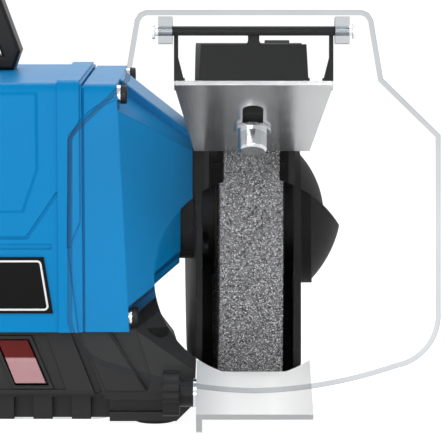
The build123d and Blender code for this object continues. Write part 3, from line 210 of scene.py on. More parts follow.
# bonded grit: each modelled grain has a grey of its own, from dark to nearly white, in a dark open bond
def bondedGrit(look):
    anyGrain = 0.001        # the bond has no grain value, which reads as 0
    made, tree = newMaterial(look["name"])
    coords = add(tree, "ShaderNodeTexCoord").outputs["Object"]
    grain = add(tree, "ShaderNodeAttribute", attribute_name="grain").outputs["Fac"]
    cells = add(tree, "ShaderNodeTexVoronoi", {"Vector": coords, "Scale": 1 / (look["pore"] * mm)})
    fleck = add(tree, "ShaderNodeSeparateColor", {0: cells.outputs["Color"]}).outputs[0]
    bond = add(tree, "ShaderNodeMix", {
        0: fleck, 6: hexColor(look["bondLow"]), 7: hexColor(look["bondHigh"]),
    }, data_type="RGBA")
    stone = add(tree, "ShaderNodeMix", {
        0: grain, 6: hexColor(look["stoneLow"]), 7: hexColor(look["stoneHigh"]),
    }, data_type="RGBA")
    isGrain = add(tree, "ShaderNodeMath", {0: grain, 1: anyGrain}, operation="GREATER_THAN").outputs[0]
    tone = add(tree, "ShaderNodeMix", {
        0: isGrain, 6: bond.outputs[2], 7: stone.outputs[2],
    }, data_type="RGBA")
    relief = add(tree, "ShaderNodeBump", {
        "Strength": 0.6, "Distance": look["relief"] * mm, "Height": cells.outputs["Distance"],
    })
    skin = add(tree, "ShaderNodeBsdfPrincipled", {
        "Base Color": tone.outputs[2], "Roughness": look["rough"], "Specular IOR Level": look["shine"],
        "Normal": relief.outputs[0],
    })
    add(tree, "ShaderNodeOutputMaterial", {"Surface": skin.outputs[0]})
    return made


# clear acrylic, cast and polished: bends what is seen through it and throws hardly any shadow
def clearLens(look):
    waveSize = 50 * mm
    made, tree = newMaterial(look["name"])
    coords = add(tree, "ShaderNodeTexCoord").outputs["Object"]
    wave = add(tree, "ShaderNodeTexNoise", {
        "Vector": coords, "Scale": 1 / waveSize, "Detail": 1,
    }).outputs["Fac"]
    haze = add(tree, "ShaderNodeMapRange", {"Value": wave, "To Min": 0.0, "To Max": look["haze"]})
    body = add(tree, "ShaderNodeBsdfPrincipled", {
        "Base Color": hexColor(look["clear"]), "Roughness": haze.outputs[0], "IOR": look["ior"],
        "Transmission Weight": 1.0, "Specular Tint": hexColor(look["glare"]),
    })
    through = add(tree, "ShaderNodeBsdfTransparent", {"Color": hexColor(look["shadow"])})
    rays = add(tree, "ShaderNodeLightPath").outputs
    both = add(tree, "ShaderNodeMixShader", {
        0: rays["Is Shadow Ray"], 1: body.outputs[0], 2: through.outputs[0],
    })
    add(tree, "ShaderNodeOutputMaterial", {"Surface": both.outputs[0]})
    return made


# clear sheet: almost unseen from the front, while its cut edge dims what lies behind it to a grey line
def clearSheet(look):
    waveSize = 20 * mm
    made, tree = newMaterial(look["name"])
    coords = add(tree, "ShaderNodeTexCoord").outputs["Object"]
    wave = add(tree, "ShaderNodeTexNoise", {
        "Vector": coords, "Scale": 1 / waveSize, "Detail": 2,
    }).outputs["Fac"]
    tint = add(tree, "ShaderNodeMix", {
        0: wave, 6: hexColor(look["low"]), 7: hexColor(look["high"]),
    }, data_type="RGBA")
    through = add(tree, "ShaderNodeBsdfTransparent", {"Color": tint.outputs[2]})
    skin = add(tree, "ShaderNodeBsdfPrincipled", {
        "Base Color": tint.outputs[2], "Roughness": look["rough"],
    })
    both = add(tree, "ShaderNodeMixShader", {0: look["cover"], 1: through.outputs[0], 2: skin.outputs[0]})
    add(tree, "ShaderNodeOutputMaterial", {"Surface": both.outputs[0]})
    return made


# glossy red moulding whose lower half is painted pale: a painted reflection of the white surroundings in
# its lower face
def rockerRed(look):
    made, tree = newMaterial(look["name"])
    coords = add(tree, "ShaderNodeTexCoord").outputs["Object"]
    height = add(tree, "ShaderNodeSeparateXYZ", {0: coords}).outputs["Z"]
    # painted reflection: below a set height the red turns pale pink
    paintedReflectionMask = add(tree, "ShaderNodeMapRange", {
        "Value": height, "From Min": look["deepAbove"] * mm, "From Max": look["paintedReflectionBelow"] * mm,
    }).outputs[0]
    cloud = add(tree, "ShaderNodeTexNoise", {
        "Vector": coords, "Scale": 1 / (look["cloud"] * mm), "Detail": 1,
    }).outputs["Fac"]
    deep = add(tree, "ShaderNodeMix", {
        0: cloud, 6: hexColor(look["deepLow"]), 7: hexColor(look["deepHigh"]),
    }, data_type="RGBA")
    pale = add(tree, "ShaderNodeMix", {
        0: cloud, 6: hexColor(look["paintedReflectionLow"]), 7: hexColor(look["paintedReflectionHigh"]),
    }, data_type="RGBA")
    tone = add(tree, "ShaderNodeMix", {0: paintedReflectionMask, 6: deep.outputs[2], 7: pale.outputs[2]}, data_type="RGBA")
    edge = add(tree, "ShaderNodeBevel", {"Radius": look["edge"] * mm}, samples=4)
    skin = add(tree, "ShaderNodeBsdfPrincipled", {
        "Base Color": tone.outputs[2], "Roughness": look["rough"], "Specular IOR Level": look["shine"],
        "Normal": edge.outputs[0],
    })
    add(tree, "ShaderNodeOutputMaterial", {"Surface": skin.outputs[0]})
    return made


# black moulding whose two outer ends are bright steel pins, which the shield turns on
def bracketWithPins(look):
    made, tree = newMaterial(look["name"])
    coords = add(tree, "ShaderNodeTexCoord").outputs["Object"]
    x = add(tree, "ShaderNodeSeparateXYZ", {0: coords}).outputs["X"]
    across = add(tree, "ShaderNodeMath", {0: x}, operation="ABSOLUTE").outputs[0]
    isMoulded = add(tree, "ShaderNodeMath", {
        0: across, 1: wheelX, 2: look["pinsFrom"] * mm,
    }, operation="COMPARE").outputs[0]
    fine = add(tree, "ShaderNodeTexNoise", {
        "Vector": coords, "Scale": 1 / (look["grain"] * mm), "Detail": 2,
    }).outputs["Fac"]
    dark = add(tree, "ShaderNodeMix", {
        0: fine, 6: hexColor(look["darkLow"]), 7: hexColor(look["darkHigh"]),
    }, data_type="RGBA")
    bright = add(tree, "ShaderNodeMix", {
        0: fine, 6: hexColor(look["brightLow"]), 7: hexColor(look["brightHigh"]),
    }, data_type="RGBA")
    tone = add(tree, "ShaderNodeMix", {
        0: isMoulded, 6: bright.outputs[2], 7: dark.outputs[2],
    }, data_type="RGBA")
    isPin = add(tree, "ShaderNodeMath", {0: 1.0, 1: isMoulded}, operation="SUBTRACT").outputs[0]
    edge = add(tree, "ShaderNodeBevel", {"Radius": look["edge"] * mm}, samples=4)
    skin = add(tree, "ShaderNodeBsdfPrincipled", {
        "Base Color": tone.outputs[2], "Metallic": isPin, "Roughness": look["rough"],
        "Specular IOR Level": look["shine"], "Normal": edge.outputs[0],
    })
    add(tree, "ShaderNodeOutputMaterial", {"Surface": skin.outputs[0]})
    return made


finishes = {
    # satin blue enamel over cast metal: even colour, soft highlights
    "bluePaint": paintedOrMoulded({
        "name": "satinBlueEnamel", "low": "0680bc", "high": "0984c3", "rough": 0.31, "shine": 0.05,
        "grain": 0.9, "relief": 0.012, "edge": 0.7,
    }),
    # textured black enamel on the base: dull grey sheen from its fine grain
    "blackCast": paintedOrMoulded({
        "name": "texturedBlackEnamel", "low": "1a1a1b", "high": "242425", "rough": 0.5, "shine": 0.2,
        "grain": 0.5, "relief": 0.03, "edge": 0.6,
    }),
    # smooth black enamel on guards and covers: deeper black with a soft shine
    "guardBlack": paintedOrMoulded({
        "name": "smoothBlackEnamel", "low": "1b1b1b", "high": "232323", "rough": 0.6, "shine": 0.08,
        "grain": 0.6, "relief": 0.012, "edge": 0.8,
    }),
    # moulded black plastic of knobs, handle and switch frame: fine matt skin
    "blackPlastic": paintedOrMoulded({
        "name": "mouldedBlackPlastic", "low": "121213", "high": "1a1a1b", "rough": 0.45, "shine": 0.2,
        "grain": 0.4, "relief": 0.02, "edge": 0.5,
    }),
    # lacquered black plate: flat and glossy
    "plateBlack": paintedOrMoulded({
        "name": "lacquerBlackPlate", "low": "080808", "high": "0d0d0c", "rough": 0.35, "shine": 0.06,
        "grain": 1.5, "relief": 0.004, "edge": 0.15,
    }),
    # white printing ink on the plate: flat and dull
    "paleInk": paintedOrMoulded({
        "name": "paleBorderInk", "low": "e4e6e8", "high": "f4f5f6", "rough": 0.6, "shine": 0.2,
        "grain": 0.8, "relief": 0.003, "edge": 0.05,
    }),
    # moulded rubber: soft, no gloss
    "rubber": paintedOrMoulded({
        "name": "mouldedRubber", "low": "121212", "high": "1a1a1a", "rough": 0.8, "shine": 0.3,
        "grain": 0.4, "relief": 0.04, "edge": 0.4,
    }),
    # blotting paper between wheel and flange: fibrous, no gloss
    "paper": paintedOrMoulded({
        "name": "blottingPaper", "low": "45413c", "high": "544f48", "rough": 0.9, "shine": 0.2,
        "grain": 0.3, "relief": 0.05, "edge": 0.1,
    }),
    # polished sheet steel: fine rolling lines, bright where it faces the light
    "sheetSteel": bareMetal({
        "name": "polishedSheetSteel", "low": "b0b1b2", "high": "c8c8c9", "metal": 0.9, "rough": 0.2,
        "lines": (0.4, 30, 30), "depth": 0.15, "edge": 0.25,
    }),
    # zinc plated fasteners and bottom plate: pale and smooth
    "zinc": bareMetal({
        "name": "zincPlatedSteel", "low": "c6c8ca", "high": "dcdee0", "metal": 1.0, "rough": 0.16,
        "lines": (3, 3, 3), "depth": 0.05, "edge": 0.3,
    }),
    # bright chrome on the socket screws: mirrors white and black
    "chrome": bareMetal({
        "name": "brightChrome", "low": "e2e3e4", "high": "f0f0f0", "metal": 1.0, "rough": 0.06,
        "lines": (4, 4, 4), "depth": 0.02, "edge": 0.2,
    }),
    # turned steel of the spindle, its nuts and the bearings: rings round the axis
    "turnedSteel": bareMetal({
        "name": "turnedSteel", "low": "868789", "high": "9a9b9d", "metal": 1.0, "rough": 0.3,
        "lines": (0.3, 8, 8), "depth": 0.3, "edge": 0.3,
    }),
    # turned steel painted dark as shade, for the wheel flanges, the guard screws and the outer ends of the
    # bell screws:
    # a darker copy of turned steel, with a faint gleam
    "blackenedSteel": bareMetal({
        "name": "blackenedSteel", "low": "242426", "high": "303032", "metal": 1.0, "rough": 0.4,
        "lines": (0.3, 8, 8), "depth": 0.3, "edge": 0.3,
    }),
    # stacked sheet iron of stator and rotor: dark, with close lines across the axis
    "sheetIron": bareMetal({
        "name": "stackedSheetIron", "low": "505052", "high": "646466", "metal": 1.0, "rough": 0.45,
        "lines": (0.5, 20, 20), "depth": 0.6, "edge": 0.2,
    }),
    # enamelled copper wire: warm, with lines along the axis
    "copper": bareMetal({
        "name": "enamelledCopper", "low": "a85528", "high": "c06c36", "metal": 1.0, "rough": 0.35,
        "lines": (6, 0.6, 0.6), "depth": 0.6, "edge": 0.2,
    }),
    # drawn aluminium can: pale and satin
    "can": bareMetal({
        "name": "drawnAluminium", "low": "b2b4b6", "high": "c4c6c8", "metal": 1.0, "rough": 0.3,
        "lines": (0.4, 8, 8), "depth": 0.2, "edge": 0.4,
    }),
    # the rest's two tones along its length are painted light in front of the wheel and painted shade to
    # the ends
    "restSteel": wornRestSteel({
        "name": "wornRestSteel", "wearAndPaintedLight": "fcfbf9", "paintedShadeTone": "d0d0cf", "shearedAndShadedTone": "a2a3a4", "metal": 0.12,
        "paintedLightTo": 9, "paintedShadeFrom": 27, "shearedAndShadedFacing": 0.8, "smooth": 0.3, "rough": 0.5,
        "lines": (40, 0.4, 0.4), "depth": 0.2, "edge": 0.25,
    }),
    "grit": bondedGrit({
        "name": "bondedGreyGrit", "bondLow": "2c2c2d", "bondHigh": "848485", "stoneLow": "404041",
        "stoneHigh": "f6f6f6", "rough": 0.9, "shine": 0.3, "pore": 0.6, "relief": 0.2,
    }),
    "lens": clearLens({
        "name": "clearAcrylicLens", "clear": "fdfdfe", "glare": "202020", "shadow": "fafbfc", "ior": 1.49,
        "haze": 0.01,
    }),
    "sheetFace": clearSheet({
        "name": "clearSheetFace", "low": "fcfdfd", "high": "ffffff", "cover": 0.004, "rough": 0.15,
    }),
    "sheetRim": clearSheet({
        "name": "clearSheetRim", "low": "c4c7ca", "high": "d0d3d6", "cover": 0.02, "rough": 0.15,
    }),
    # the pale tones are a painted reflection of white in the rocker's lower face
    "rockerRed": rockerRed({
        "name": "glossRedMoulding", "deepLow": "560502", "deepHigh": "640a05", "paintedReflectionLow": "b4888b",
        "paintedReflectionHigh": "c09699", "rough": 0.2, "shine": 0.05, "deepAbove": 31.2, "paintedReflectionBelow": 30.6,
        "cloud": 5, "edge": 0.5,
    }),
    "bracketBlack": bracketWithPins({
        "name": "mouldedBlackWithSteelPins", "darkLow": "101011", "darkHigh": "1a1a1b",
        "brightLow": "e2e3e4", "brightHigh": "f0f0f0", "rough": 0.4, "shine": 0.15, "pinsFrom": 34.2,
        "grain": 0.4, "edge": 0.4,
    }),
}
slotFinish = {
    "blue_paint": "bluePaint", "black_cast": "blackCast", "black_plastic": "blackPlastic",
    "red_plastic": "rockerRed", "plate_black": "plateBlack", "bright_steel": "sheetSteel",
    "zinc_steel": "zinc", "chrome_screw": "chrome", "dark_steel": "turnedSteel",
    "lamination": "sheetIron", "copper": "copper", "abrasive": "grit", "clear_sheet": "sheetFace",
    "clear_lens": "lens", "rubber": "rubber", "paper": "paper", "capacitor_can": "can",
}
ownFinish = {"guard_screws": "blackenedSteel"}
for side in sides:
    ownFinish["guard_" + side] = "guardBlack"
    ownFinish["guard_cover_" + side] = "guardBlack"
    # the flanges take the dark copy of turned steel: painted shade
    ownFinish["inner_flange_" + side] = "blackenedSteel"
    ownFinish["outer_flange_" + side] = "blackenedSteel"
    ownFinish["tool_rest_" + side] = "restSteel"
    ownFinish["shield_rod_" + side] = "bracketBlack"
for part in frame["record"]["subparts"]:
    finish = ownFinish.get(part["node"], slotFinish[part["material_slot"]])
    nodes[part["node"]].data.materials.clear()
    nodes[part["node"]].data.materials.append(finishes[finish])
print("materials:", len(finishes))


def addPiece(name, mesh, body, slot, *stoodFor):
    obj = bpy.data.objects.new(name, mesh)
    scene.collection.objects.link(obj)
    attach(obj, body)
    if stoodFor:
        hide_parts(*stoodFor)
    return obj


# a tree with named inputs; gives the tree and its inputs' outlets
def newTree(name, inputs):
    tree = bpy.data.node_groups.new(name, "GeometryNodeTree")
    tree.interface.new_socket("Geometry", in_out="INPUT", socket_type="NodeSocketGeometry")
    for key, kind in inputs.items():
        tree.interface.new_socket(key, in_out="INPUT", socket_type=kind)
    tree.interface.new_socket("Geometry", in_out="OUTPUT", socket_type="NodeSocketGeometry")
    return tree, add(tree, "NodeGroupInput").outputs


# runs a node tree on a mesh and gives back the result as a plain mesh
def bakeTree(tree, mesh, values):
    carrier = bpy.data.objects.new("carrier", mesh)
    scene.collection.objects.link(carrier)
    modifier = carrier.modifiers.new("nodes", "NODES")
    modifier.node_group = tree
    for item in tree.interface.items_tree:
        if item.in_out == "INPUT" and item.name in values:
            modifier[item.identifier] = values[item.name]
    carrier.update_tag()
    graph = bpy.context.evaluated_depsgraph_get()
    baked = bpy.data.meshes.new_from_object(carrier.evaluated_get(graph))
    bpy.data.objects.remove(carrier)
    return baked


# turns a profile of (radius, along) points round an axis
def lathe(bm, profile, middle, axis, spokes):
    across = axis.orthogonal().normalized()
    third = axis.cross(across)
    rows = []
    for radius, along in profile:
        count = spokes if radius > 0 else 1
        turns = [fullCircle * k / count for k in range(count)]
        rows.append([
            bm.verts.new(middle + axis * along + (across * math.cos(t) + third * math.sin(t)) * radius)
            for t in turns
        ])
    for a, b in zip(rows, rows[1:]):
        for k in range(spokes):
            n = k + 1
            corners = [a[k % len(a)], b[k % len(b)], b[n % len(b)], a[n % len(a)]]
            bm.faces.new(dict.fromkeys(corners))


# a wall between two closed loops of as many points
def joinLoops(bm, a, b, slot=0):
    for k in range(len(a)):
        n = (k + 1) % len(a)
        bm.faces.new((a[k], a[n], b[n], b[k])).material_index = slot


# welds the points, turns the faces outwards and keeps edges over an angle in degrees sharp
def meshFrom(bm, name, sharp=40):
    bmesh.ops.remove_doubles(bm, verts=bm.verts, dist=0.001 * mm)
    bmesh.ops.recalc_face_normals(bm, faces=bm.faces)
    mesh = bpy.data.meshes.new(name)
    bm.to_mesh(mesh)
    bm.free()
    mesh.shade_smooth()
    mesh.set_sharp_from_angle(angle=math.radians(sharp))
    return mesh


# grinding wheels: a turned body covered with separate grains
wheel = {
    "radius": 75 * mm, "width": 25 * mm, "bore": 6.41 * mm, "chamfer": 1 * mm, "spokes": 192,
    "sunk": 0.15 * mm,                          # body below the wheel's true surface, under the grains
    "grain": 0.28 * mm, "smallest": 0.55, "largest": 1.15,
    "rimGrains": 2.3e6, "sideGrains": 0.05e6,   # to a square metre
    "seed": 7, "shadeSeed": 3,
}
tree, given = newTree("gritGrains", {
    "Grain radius": "NodeSocketFloat", "Smallest": "NodeSocketFloat", "Largest": "NodeSocketFloat",
    "Rim grains": "NodeSocketFloat", "Side grains": "NodeSocketFloat", "Seed": "NodeSocketInt",
    "Shade seed": "NodeSocketInt", "Stone": "NodeSocketMaterial",
})
sideFacing = 0.9            # a face turned this far along the axis is a side of the wheel
anyTurn = (6.28, 6.28, 6.28)
darkestGrain, palestGrain = 0.01, 1.0       # over 0, which marks the bond
normal = add(tree, "GeometryNodeInputNormal").outputs[0]
facing = add(tree, "ShaderNodeSeparateXYZ", {0: normal}).outputs["X"]
sideways = add(tree, "ShaderNodeMath", {0: facing}, operation="ABSOLUTE").outputs[0]
isSide = add(tree, "ShaderNodeMath", {0: sideways, 1: sideFacing}, operation="GREATER_THAN").outputs[0]
density = add(tree, "ShaderNodeMix", {
    0: isSide, 2: given["Rim grains"], 3: given["Side grains"],
}).outputs[0]
points = add(tree, "GeometryNodeDistributePointsOnFaces", {
    "Mesh": given["Geometry"], "Density": density, "Seed": given["Seed"],
})
chip = add(tree, "GeometryNodeMeshUVSphere", {"Segments": 3, "Rings": 2, "Radius": given["Grain radius"]})
turn = add(tree, "FunctionNodeRandomValue", {1: anyTurn, "Seed": given["Seed"]}, data_type="FLOAT_VECTOR")
size = add(tree, "FunctionNodeRandomValue", {
    2: given["Smallest"], 3: given["Largest"], "Seed": given["Seed"],
}, data_type="FLOAT")
grains = add(tree, "GeometryNodeInstanceOnPoints", {
    "Points": points.outputs["Points"], "Instance": chip.outputs["Mesh"], "Rotation": turn.outputs[0],
    "Scale": size.outputs[1],
})
shade = add(tree, "FunctionNodeRandomValue", {
    2: darkestGrain, 3: palestGrain, "Seed": given["Shade seed"],
}, data_type="FLOAT")
tagged = add(tree, "GeometryNodeStoreNamedAttribute", {
    "Geometry": grains.outputs[0], "Name": "grain", "Value": shade.outputs[1],
}, data_type="FLOAT", domain="INSTANCE")
joined = add(tree, "GeometryNodeJoinGeometry", {0: given["Geometry"]})
tree.links.new(tagged.outputs[0], joined.inputs[0])
real = add(tree, "GeometryNodeRealizeInstances", {0: joined.outputs[0]})
stone = add(tree, "GeometryNodeSetMaterial", {"Geometry": real.outputs[0], "Material": given["Stone"]})
add(tree, "NodeGroupOutput", {0: stone.outputs[0]})
half, rim = wheel["width"] / 2 - wheel["sunk"], wheel["radius"] - wheel["sunk"]
bore, bevel = wheel["bore"], wheel["chamfer"]
profile = [
    (bore, -half), (rim - bevel, -half), (rim, bevel - half), (rim, half - bevel), (rim - bevel, half),
    (bore, half), (bore, -half),
]
for name, side in sides.items():
    bm = bmesh.new()
    lathe(bm, profile, Vector((side * wheelX, 0, axisHeight)), Vector((1, 0, 0)), wheel["spokes"])
    mesh = bakeTree(tree, meshFrom(bm, "wheelBody"), {
        "Grain radius": wheel["grain"], "Smallest": wheel["smallest"], "Largest": wheel["largest"],
        "Rim grains": wheel["rimGrains"], "Side grains": wheel["sideGrains"], "Seed": wheel["seed"],
        "Shade seed": wheel["shadeSeed"], "Stone": finishes["grit"],
    })
    addPiece("wheel." + name, mesh, "spindle", "abrasive", "wheel_" + name)
    print("wheel", name, len(mesh.polygons), "faces")

# eye shields hang from their rods, leaning back; drops are down the sheet from the rod
shield = {
    "lean": 7.5, "rodY": -125 * mm, "rodUp": 94.5 * mm, "stand": 6.3 * mm,
    "thick": 3 * mm, "rim": 2.2 * mm, "bevel": 0.8 * mm, "earsBehind": 0.3 * mm,
    "top": 8 * mm, "topHalf": 49 * mm, "topCorner": 4 * mm, "topSlant": 0.3, "topFlare": 0.15,
    "neckHalf": 53.7 * mm, "neckDrop": 20.5 * mm, "half": 77.7 * mm, "shoulderDrop": 44 * mm,
    "sideDrop": 117 * mm, "corner": (74.2 * mm, -131 * mm), "sweep": (59.3 * mm, -141 * mm),
    "sweepMid": (25 * mm, -149.4 * mm), "bottom": (0, -151.5 * mm), "steps": 14,
}
lean = math.radians(shield["lean"])
shieldUp = Vector((0, math.sin(lean), math.cos(lean)))
shieldOut = Vector((0, -math.cos(lean), math.sin(lean)))
shieldAcross = Vector((1, 0, 0))


# a point across the sheet, up from the rod and out to the front
def onShield(side, x, up, out):
    rod = Vector((side * wheelX, shield["rodY"], axisHeight + shield["rodUp"]))
    return rod + shieldAcross * x + shieldUp * up + shieldOut * out


# magnifiers: smooth flat-backed lenses let into the shields
lens = {
    "radius": 41.5 * mm, "edge": 3 * mm, "curve": 300 * mm, "drop": 103 * mm, "play": 0.05 * mm,
    "rings": 30, "spokes": 160,
}
bulge = lens["curve"] - math.sqrt(lens["curve"] ** 2 - lens["radius"] ** 2)
radii = [lens["radius"] * i / lens["rings"] for i in range(lens["rings"] + 1)]
backFace = [(r, 0) for r in radii]
frontFace = [
    (r, lens["edge"] + bulge - lens["curve"] + math.sqrt(lens["curve"] ** 2 - r * r)) for r in radii
]
for name, side in sides.items():
    bm = bmesh.new()
    middle = onShield(side, 0, -lens["drop"], shield["stand"])
    lathe(bm, backFace + frontFace[::-1], middle, shieldOut, lens["spokes"])
    mesh = meshFrom(bm, "lens")
    mesh.materials.append(finishes["lens"])
    addPiece("magnifier." + name, mesh, "eye_shield_" + name, "clear_lens", "magnifier_" + name)
print("lenses ground")


# an arc through three points, without its first point
def arcThrough(a, b, c, steps):
    ax, ay, bx, by, cx, cy = *a, *b, *c
    d = 2 * (ax * (by - cy) + bx * (cy - ay) + cx * (ay - by))
    sa, sb, sc = ax * ax + ay * ay, bx * bx + by * by, cx * cx + cy * cy
    ox = (sa * (by - cy) + sb * (cy - ay) + sc * (ay - by)) / d
    oy = (sa * (cx - bx) + sb * (ax - cx) + sc * (bx - ax)) / d
    radius = math.hypot(ax - ox, ay - oy)
    start, end = math.atan2(ay - oy, ax - ox), math.atan2(cy - oy, cx - ox)
    turns = [start + (end - start) * i / steps for i in range(1, steps + 1)]
    return [(ox + radius * math.cos(t), oy + radius * math.sin(t)) for t in turns]


# right half from the top to the middle of the lower edge, then its mirror image
def shieldOutline(s):
    cut = s["topCorner"]
    sideEnd = (s["half"], -s["sideDrop"])
    half = [
        (s["topHalf"] - cut, s["top"]),
        (s["topHalf"] - s["topSlant"] * cut, s["top"] - s["topSlant"] * cut),
        (s["topHalf"] + s["topFlare"] * cut, s["top"] - cut),
        (s["neckHalf"], -s["neckDrop"]),
        (s["half"], -s["shoulderDrop"]),
        sideEnd,
    ]
    half += arcThrough(sideEnd, s["corner"], s["sweep"], s["steps"])
    half += arcThrough(s["sweep"], s["sweepMid"], s["bottom"], s["steps"])
    return half + [(-x, y) for x, y in half[-2::-1]]


# the outline moved in by an even margin, held back at sharp corners
def movedIn(outline, by):
    leastTurn = 0.5
    moved = []
    for i, here in enumerate(outline):
        before, after = Vector(outline[i - 1]), Vector(outline[(i + 1) % len(outline)])
        one, two = (Vector(here) - before).normalized(), (after - Vector(here)).normalized()
        inward = Vector((one.y + two.y, -one.x - two.x)).normalized()
        turn = max(leastTurn, inward.dot(Vector((one.y, -one.x))))
        moved.append(Vector(here) + inward * by / turn)
    return [tuple(p) for p in moved]


outline = shieldOutline(shield)
inset = movedIn(outline, shield["rim"])
holeRadius = lens["radius"] + lens["play"]
holeTurns = [fullCircle * k / lens["spokes"] for k in range(lens["spokes"])]
hole = [(holeRadius * math.cos(t), holeRadius * math.sin(t) - lens["drop"]) for t in holeTurns]
back, front = shield["stand"], shield["stand"] + shield["thick"]
faceSlot, rimSlot = 0, 1
for name, side in sides.items():
    bm = bmesh.new()
    loops = [(outline, back), (outline, front - shield["bevel"]), (inset, front)]
    rings = [[bm.verts.new(onShield(side, x, up, out)) for x, up in loop] for loop, out in loops]
    holes = [[bm.verts.new(onShield(side, x, up, out)) for x, up in hole] for out in (back, front)]
    for a, b in zip(rings, rings[1:]):
        joinLoops(bm, a, b, rimSlot)
    joinLoops(bm, *holes, faceSlot)
    for loop, edgeVerts, holeVerts in ((outline, rings[0], holes[0]), (inset, rings[2], holes[1])):
        corners = edgeVerts + holeVerts
        flat = [[Vector((x, y, 0)) for x, y in loop], [Vector((x, y, 0)) for x, y in hole]]
        for tri in tessellate_polygon(flat):
            bm.faces.new([corners[i] for i in tri]).material_index = faceSlot
    cad = bmesh.new()                      # the two ears come from the frame's own shield
    cad.from_mesh(nodes["eye_shield_" + name].data)
    rod = onShield(side, 0, 0, 0)
    for face in cad.faces:
        depths = [(v.co - rod).dot(shieldOut) for v in face.verts]
        if min(depths) < shield["stand"] - shield["earsBehind"]:
            bm.faces.new([bm.verts.new(v.co) for v in face.verts]).material_index = rimSlot
    cad.free()
    mesh = meshFrom(bm, "shield", 30)
    mesh.materials.append(finishes["sheetFace"])
    mesh.materials.append(finishes["sheetRim"])
    addPiece("eyeShield." + name, mesh, "eye_shield_" + name, "clear_sheet", "eye_shield_" + name)
print("shields cut")

# screws: one head, placed on points and turned to face away from the machine's middle
screwTree, given = newTree("placedScrews", {
    "Head": "NodeSocketObject", "Finish": "NodeSocketMaterial", "Outer finish": "NodeSocketMaterial",
})
head = add(screwTree, "GeometryNodeObjectInfo", {"Object": given["Head"]}).outputs["Geometry"]
points = add(screwTree, "GeometryNodeMeshToPoints", {"Mesh": given["Geometry"]}).outputs[0]
place = add(screwTree, "GeometryNodeInputPosition").outputs[0]
sideX = add(screwTree, "ShaderNodeSeparateXYZ", {0: place}).outputs["X"]
isLeft = add(screwTree, "ShaderNodeMath", {0: sideX, 1: 0.0}, operation="LESS_THAN").outputs[0]
angle = add(screwTree, "ShaderNodeMath", {0: isLeft, 1: math.pi}, operation="MULTIPLY").outputs[0]
turn = add(screwTree, "ShaderNodeCombineXYZ", {"Z": angle}).outputs[0]
placed = add(screwTree, "GeometryNodeInstanceOnPoints", {
    "Points": points, "Instance": head, "Rotation": turn,
})
real = add(screwTree, "GeometryNodeRealizeInstances", {0: placed.outputs[0]})
inner = add(screwTree, "GeometryNodeSetMaterial", {
    "Geometry": real.outputs[0], "Material": given["Finish"],
})
# faces marked outer can take a second finish; on the bell screws this is painted dark reflection and shade
outer = add(screwTree, "GeometryNodeInputNamedAttribute", {
    "Name": "outer",
}, data_type="BOOLEAN").outputs["Attribute"]
done = add(screwTree, "GeometryNodeSetMaterial", {
    "Geometry": inner.outputs[0], "Selection": outer, "Material": given["Outer finish"],
})
add(screwTree, "NodeGroupOutput", {0: done.outputs[0]})


# a head that points along +X from its seat, knurled above a plain collar, with a hexagon socket
def screwHead(screw):
    knurlSteps, sunkSteps = 4, (1, 2)
    sixth = math.pi / 3
    radius, length, bevel = screw["radius"], screw["length"], screw["chamfer"]
    count = screw["knurls"] * knurlSteps
    turns = [fullCircle * k / count for k in range(count)]
    plain = [radius] * count
    knurled = [radius - screw["knurl"] * (k % knurlSteps in sunkSteps) for k in range(count)]
    face = [radius - bevel] * count
    hexagon = [screw["socket"] * math.cos(sixth / 2) / math.cos((t % sixth) - sixth / 2) for t in turns]
    bm = bmesh.new()
    rows = []
    for along, reaches in (
        (0, plain), (screw["collar"], plain), (screw["collar"], knurled), (length - 2 * bevel, knurled),
        (length - bevel, plain), (length, face), (length, hexagon), (length - screw["sink"], hexagon),
    ):
        rows.append([
            bm.verts.new((along, r * math.cos(t), r * math.sin(t))) for r, t in zip(reaches, turns)
        ])
    for a, b in zip(rows, rows[1:]):
        joinLoops(bm, a, b)
    bm.faces.new(rows[0][::-1])
    bm.faces.new(rows[-1])
    mesh = meshFrom(bm, "head", 35)
    outer = mesh.attributes.new("outer", "BOOLEAN", "FACE").data
    for face in mesh.polygons:
        outer[face.index].value = face.center.x > screw["collar"]
    made = bpy.data.objects.new("head", mesh)
    scene.collection.objects.link(made)
    return made


def placeScrews(name, screw, seats, slot, node):
    head = screwHead(screw)
    places = bpy.data.meshes.new("places")
    places.from_pydata(seats, [], [])
    mesh = bakeTree(screwTree, places, {
        "Head": head, "Finish": finishes[screw["finish"]], "Outer finish": finishes[screw["outerFinish"]],
    })
    bpy.data.objects.remove(head)
    addPiece(name, mesh, "frame", slot, node)


# socket screws at the corners of the end bells
bellScrew = {
    "y": 57 * mm, "high": 150.4 * mm, "low": 49.7 * mm, "highSeat": 104.04 * mm, "lowSeat": 108.73 * mm,
    "radius": 4.25 * mm, "length": 5 * mm, "chamfer": 0.5 * mm, "collar": 2.2 * mm,
    "socket": 2.3 * mm, "sink": 2.4 * mm, "knurls": 32, "knurl": 0.12 * mm,
    # the outer end of each chrome head takes the dark steel: painted dark reflection and shade
    "finish": "chrome", "outerFinish": "blackenedSteel",
}
rows = [(bellScrew["highSeat"], bellScrew["high"]), (bellScrew["lowSeat"], bellScrew["low"])]
seats = [(side * x, y, z) for side in (1, -1) for y in (-bellScrew["y"], bellScrew["y"]) for x, z in rows]
placeScrews("bellScrews", bellScrew, seats, "chrome_screw", "end_bell_screws")

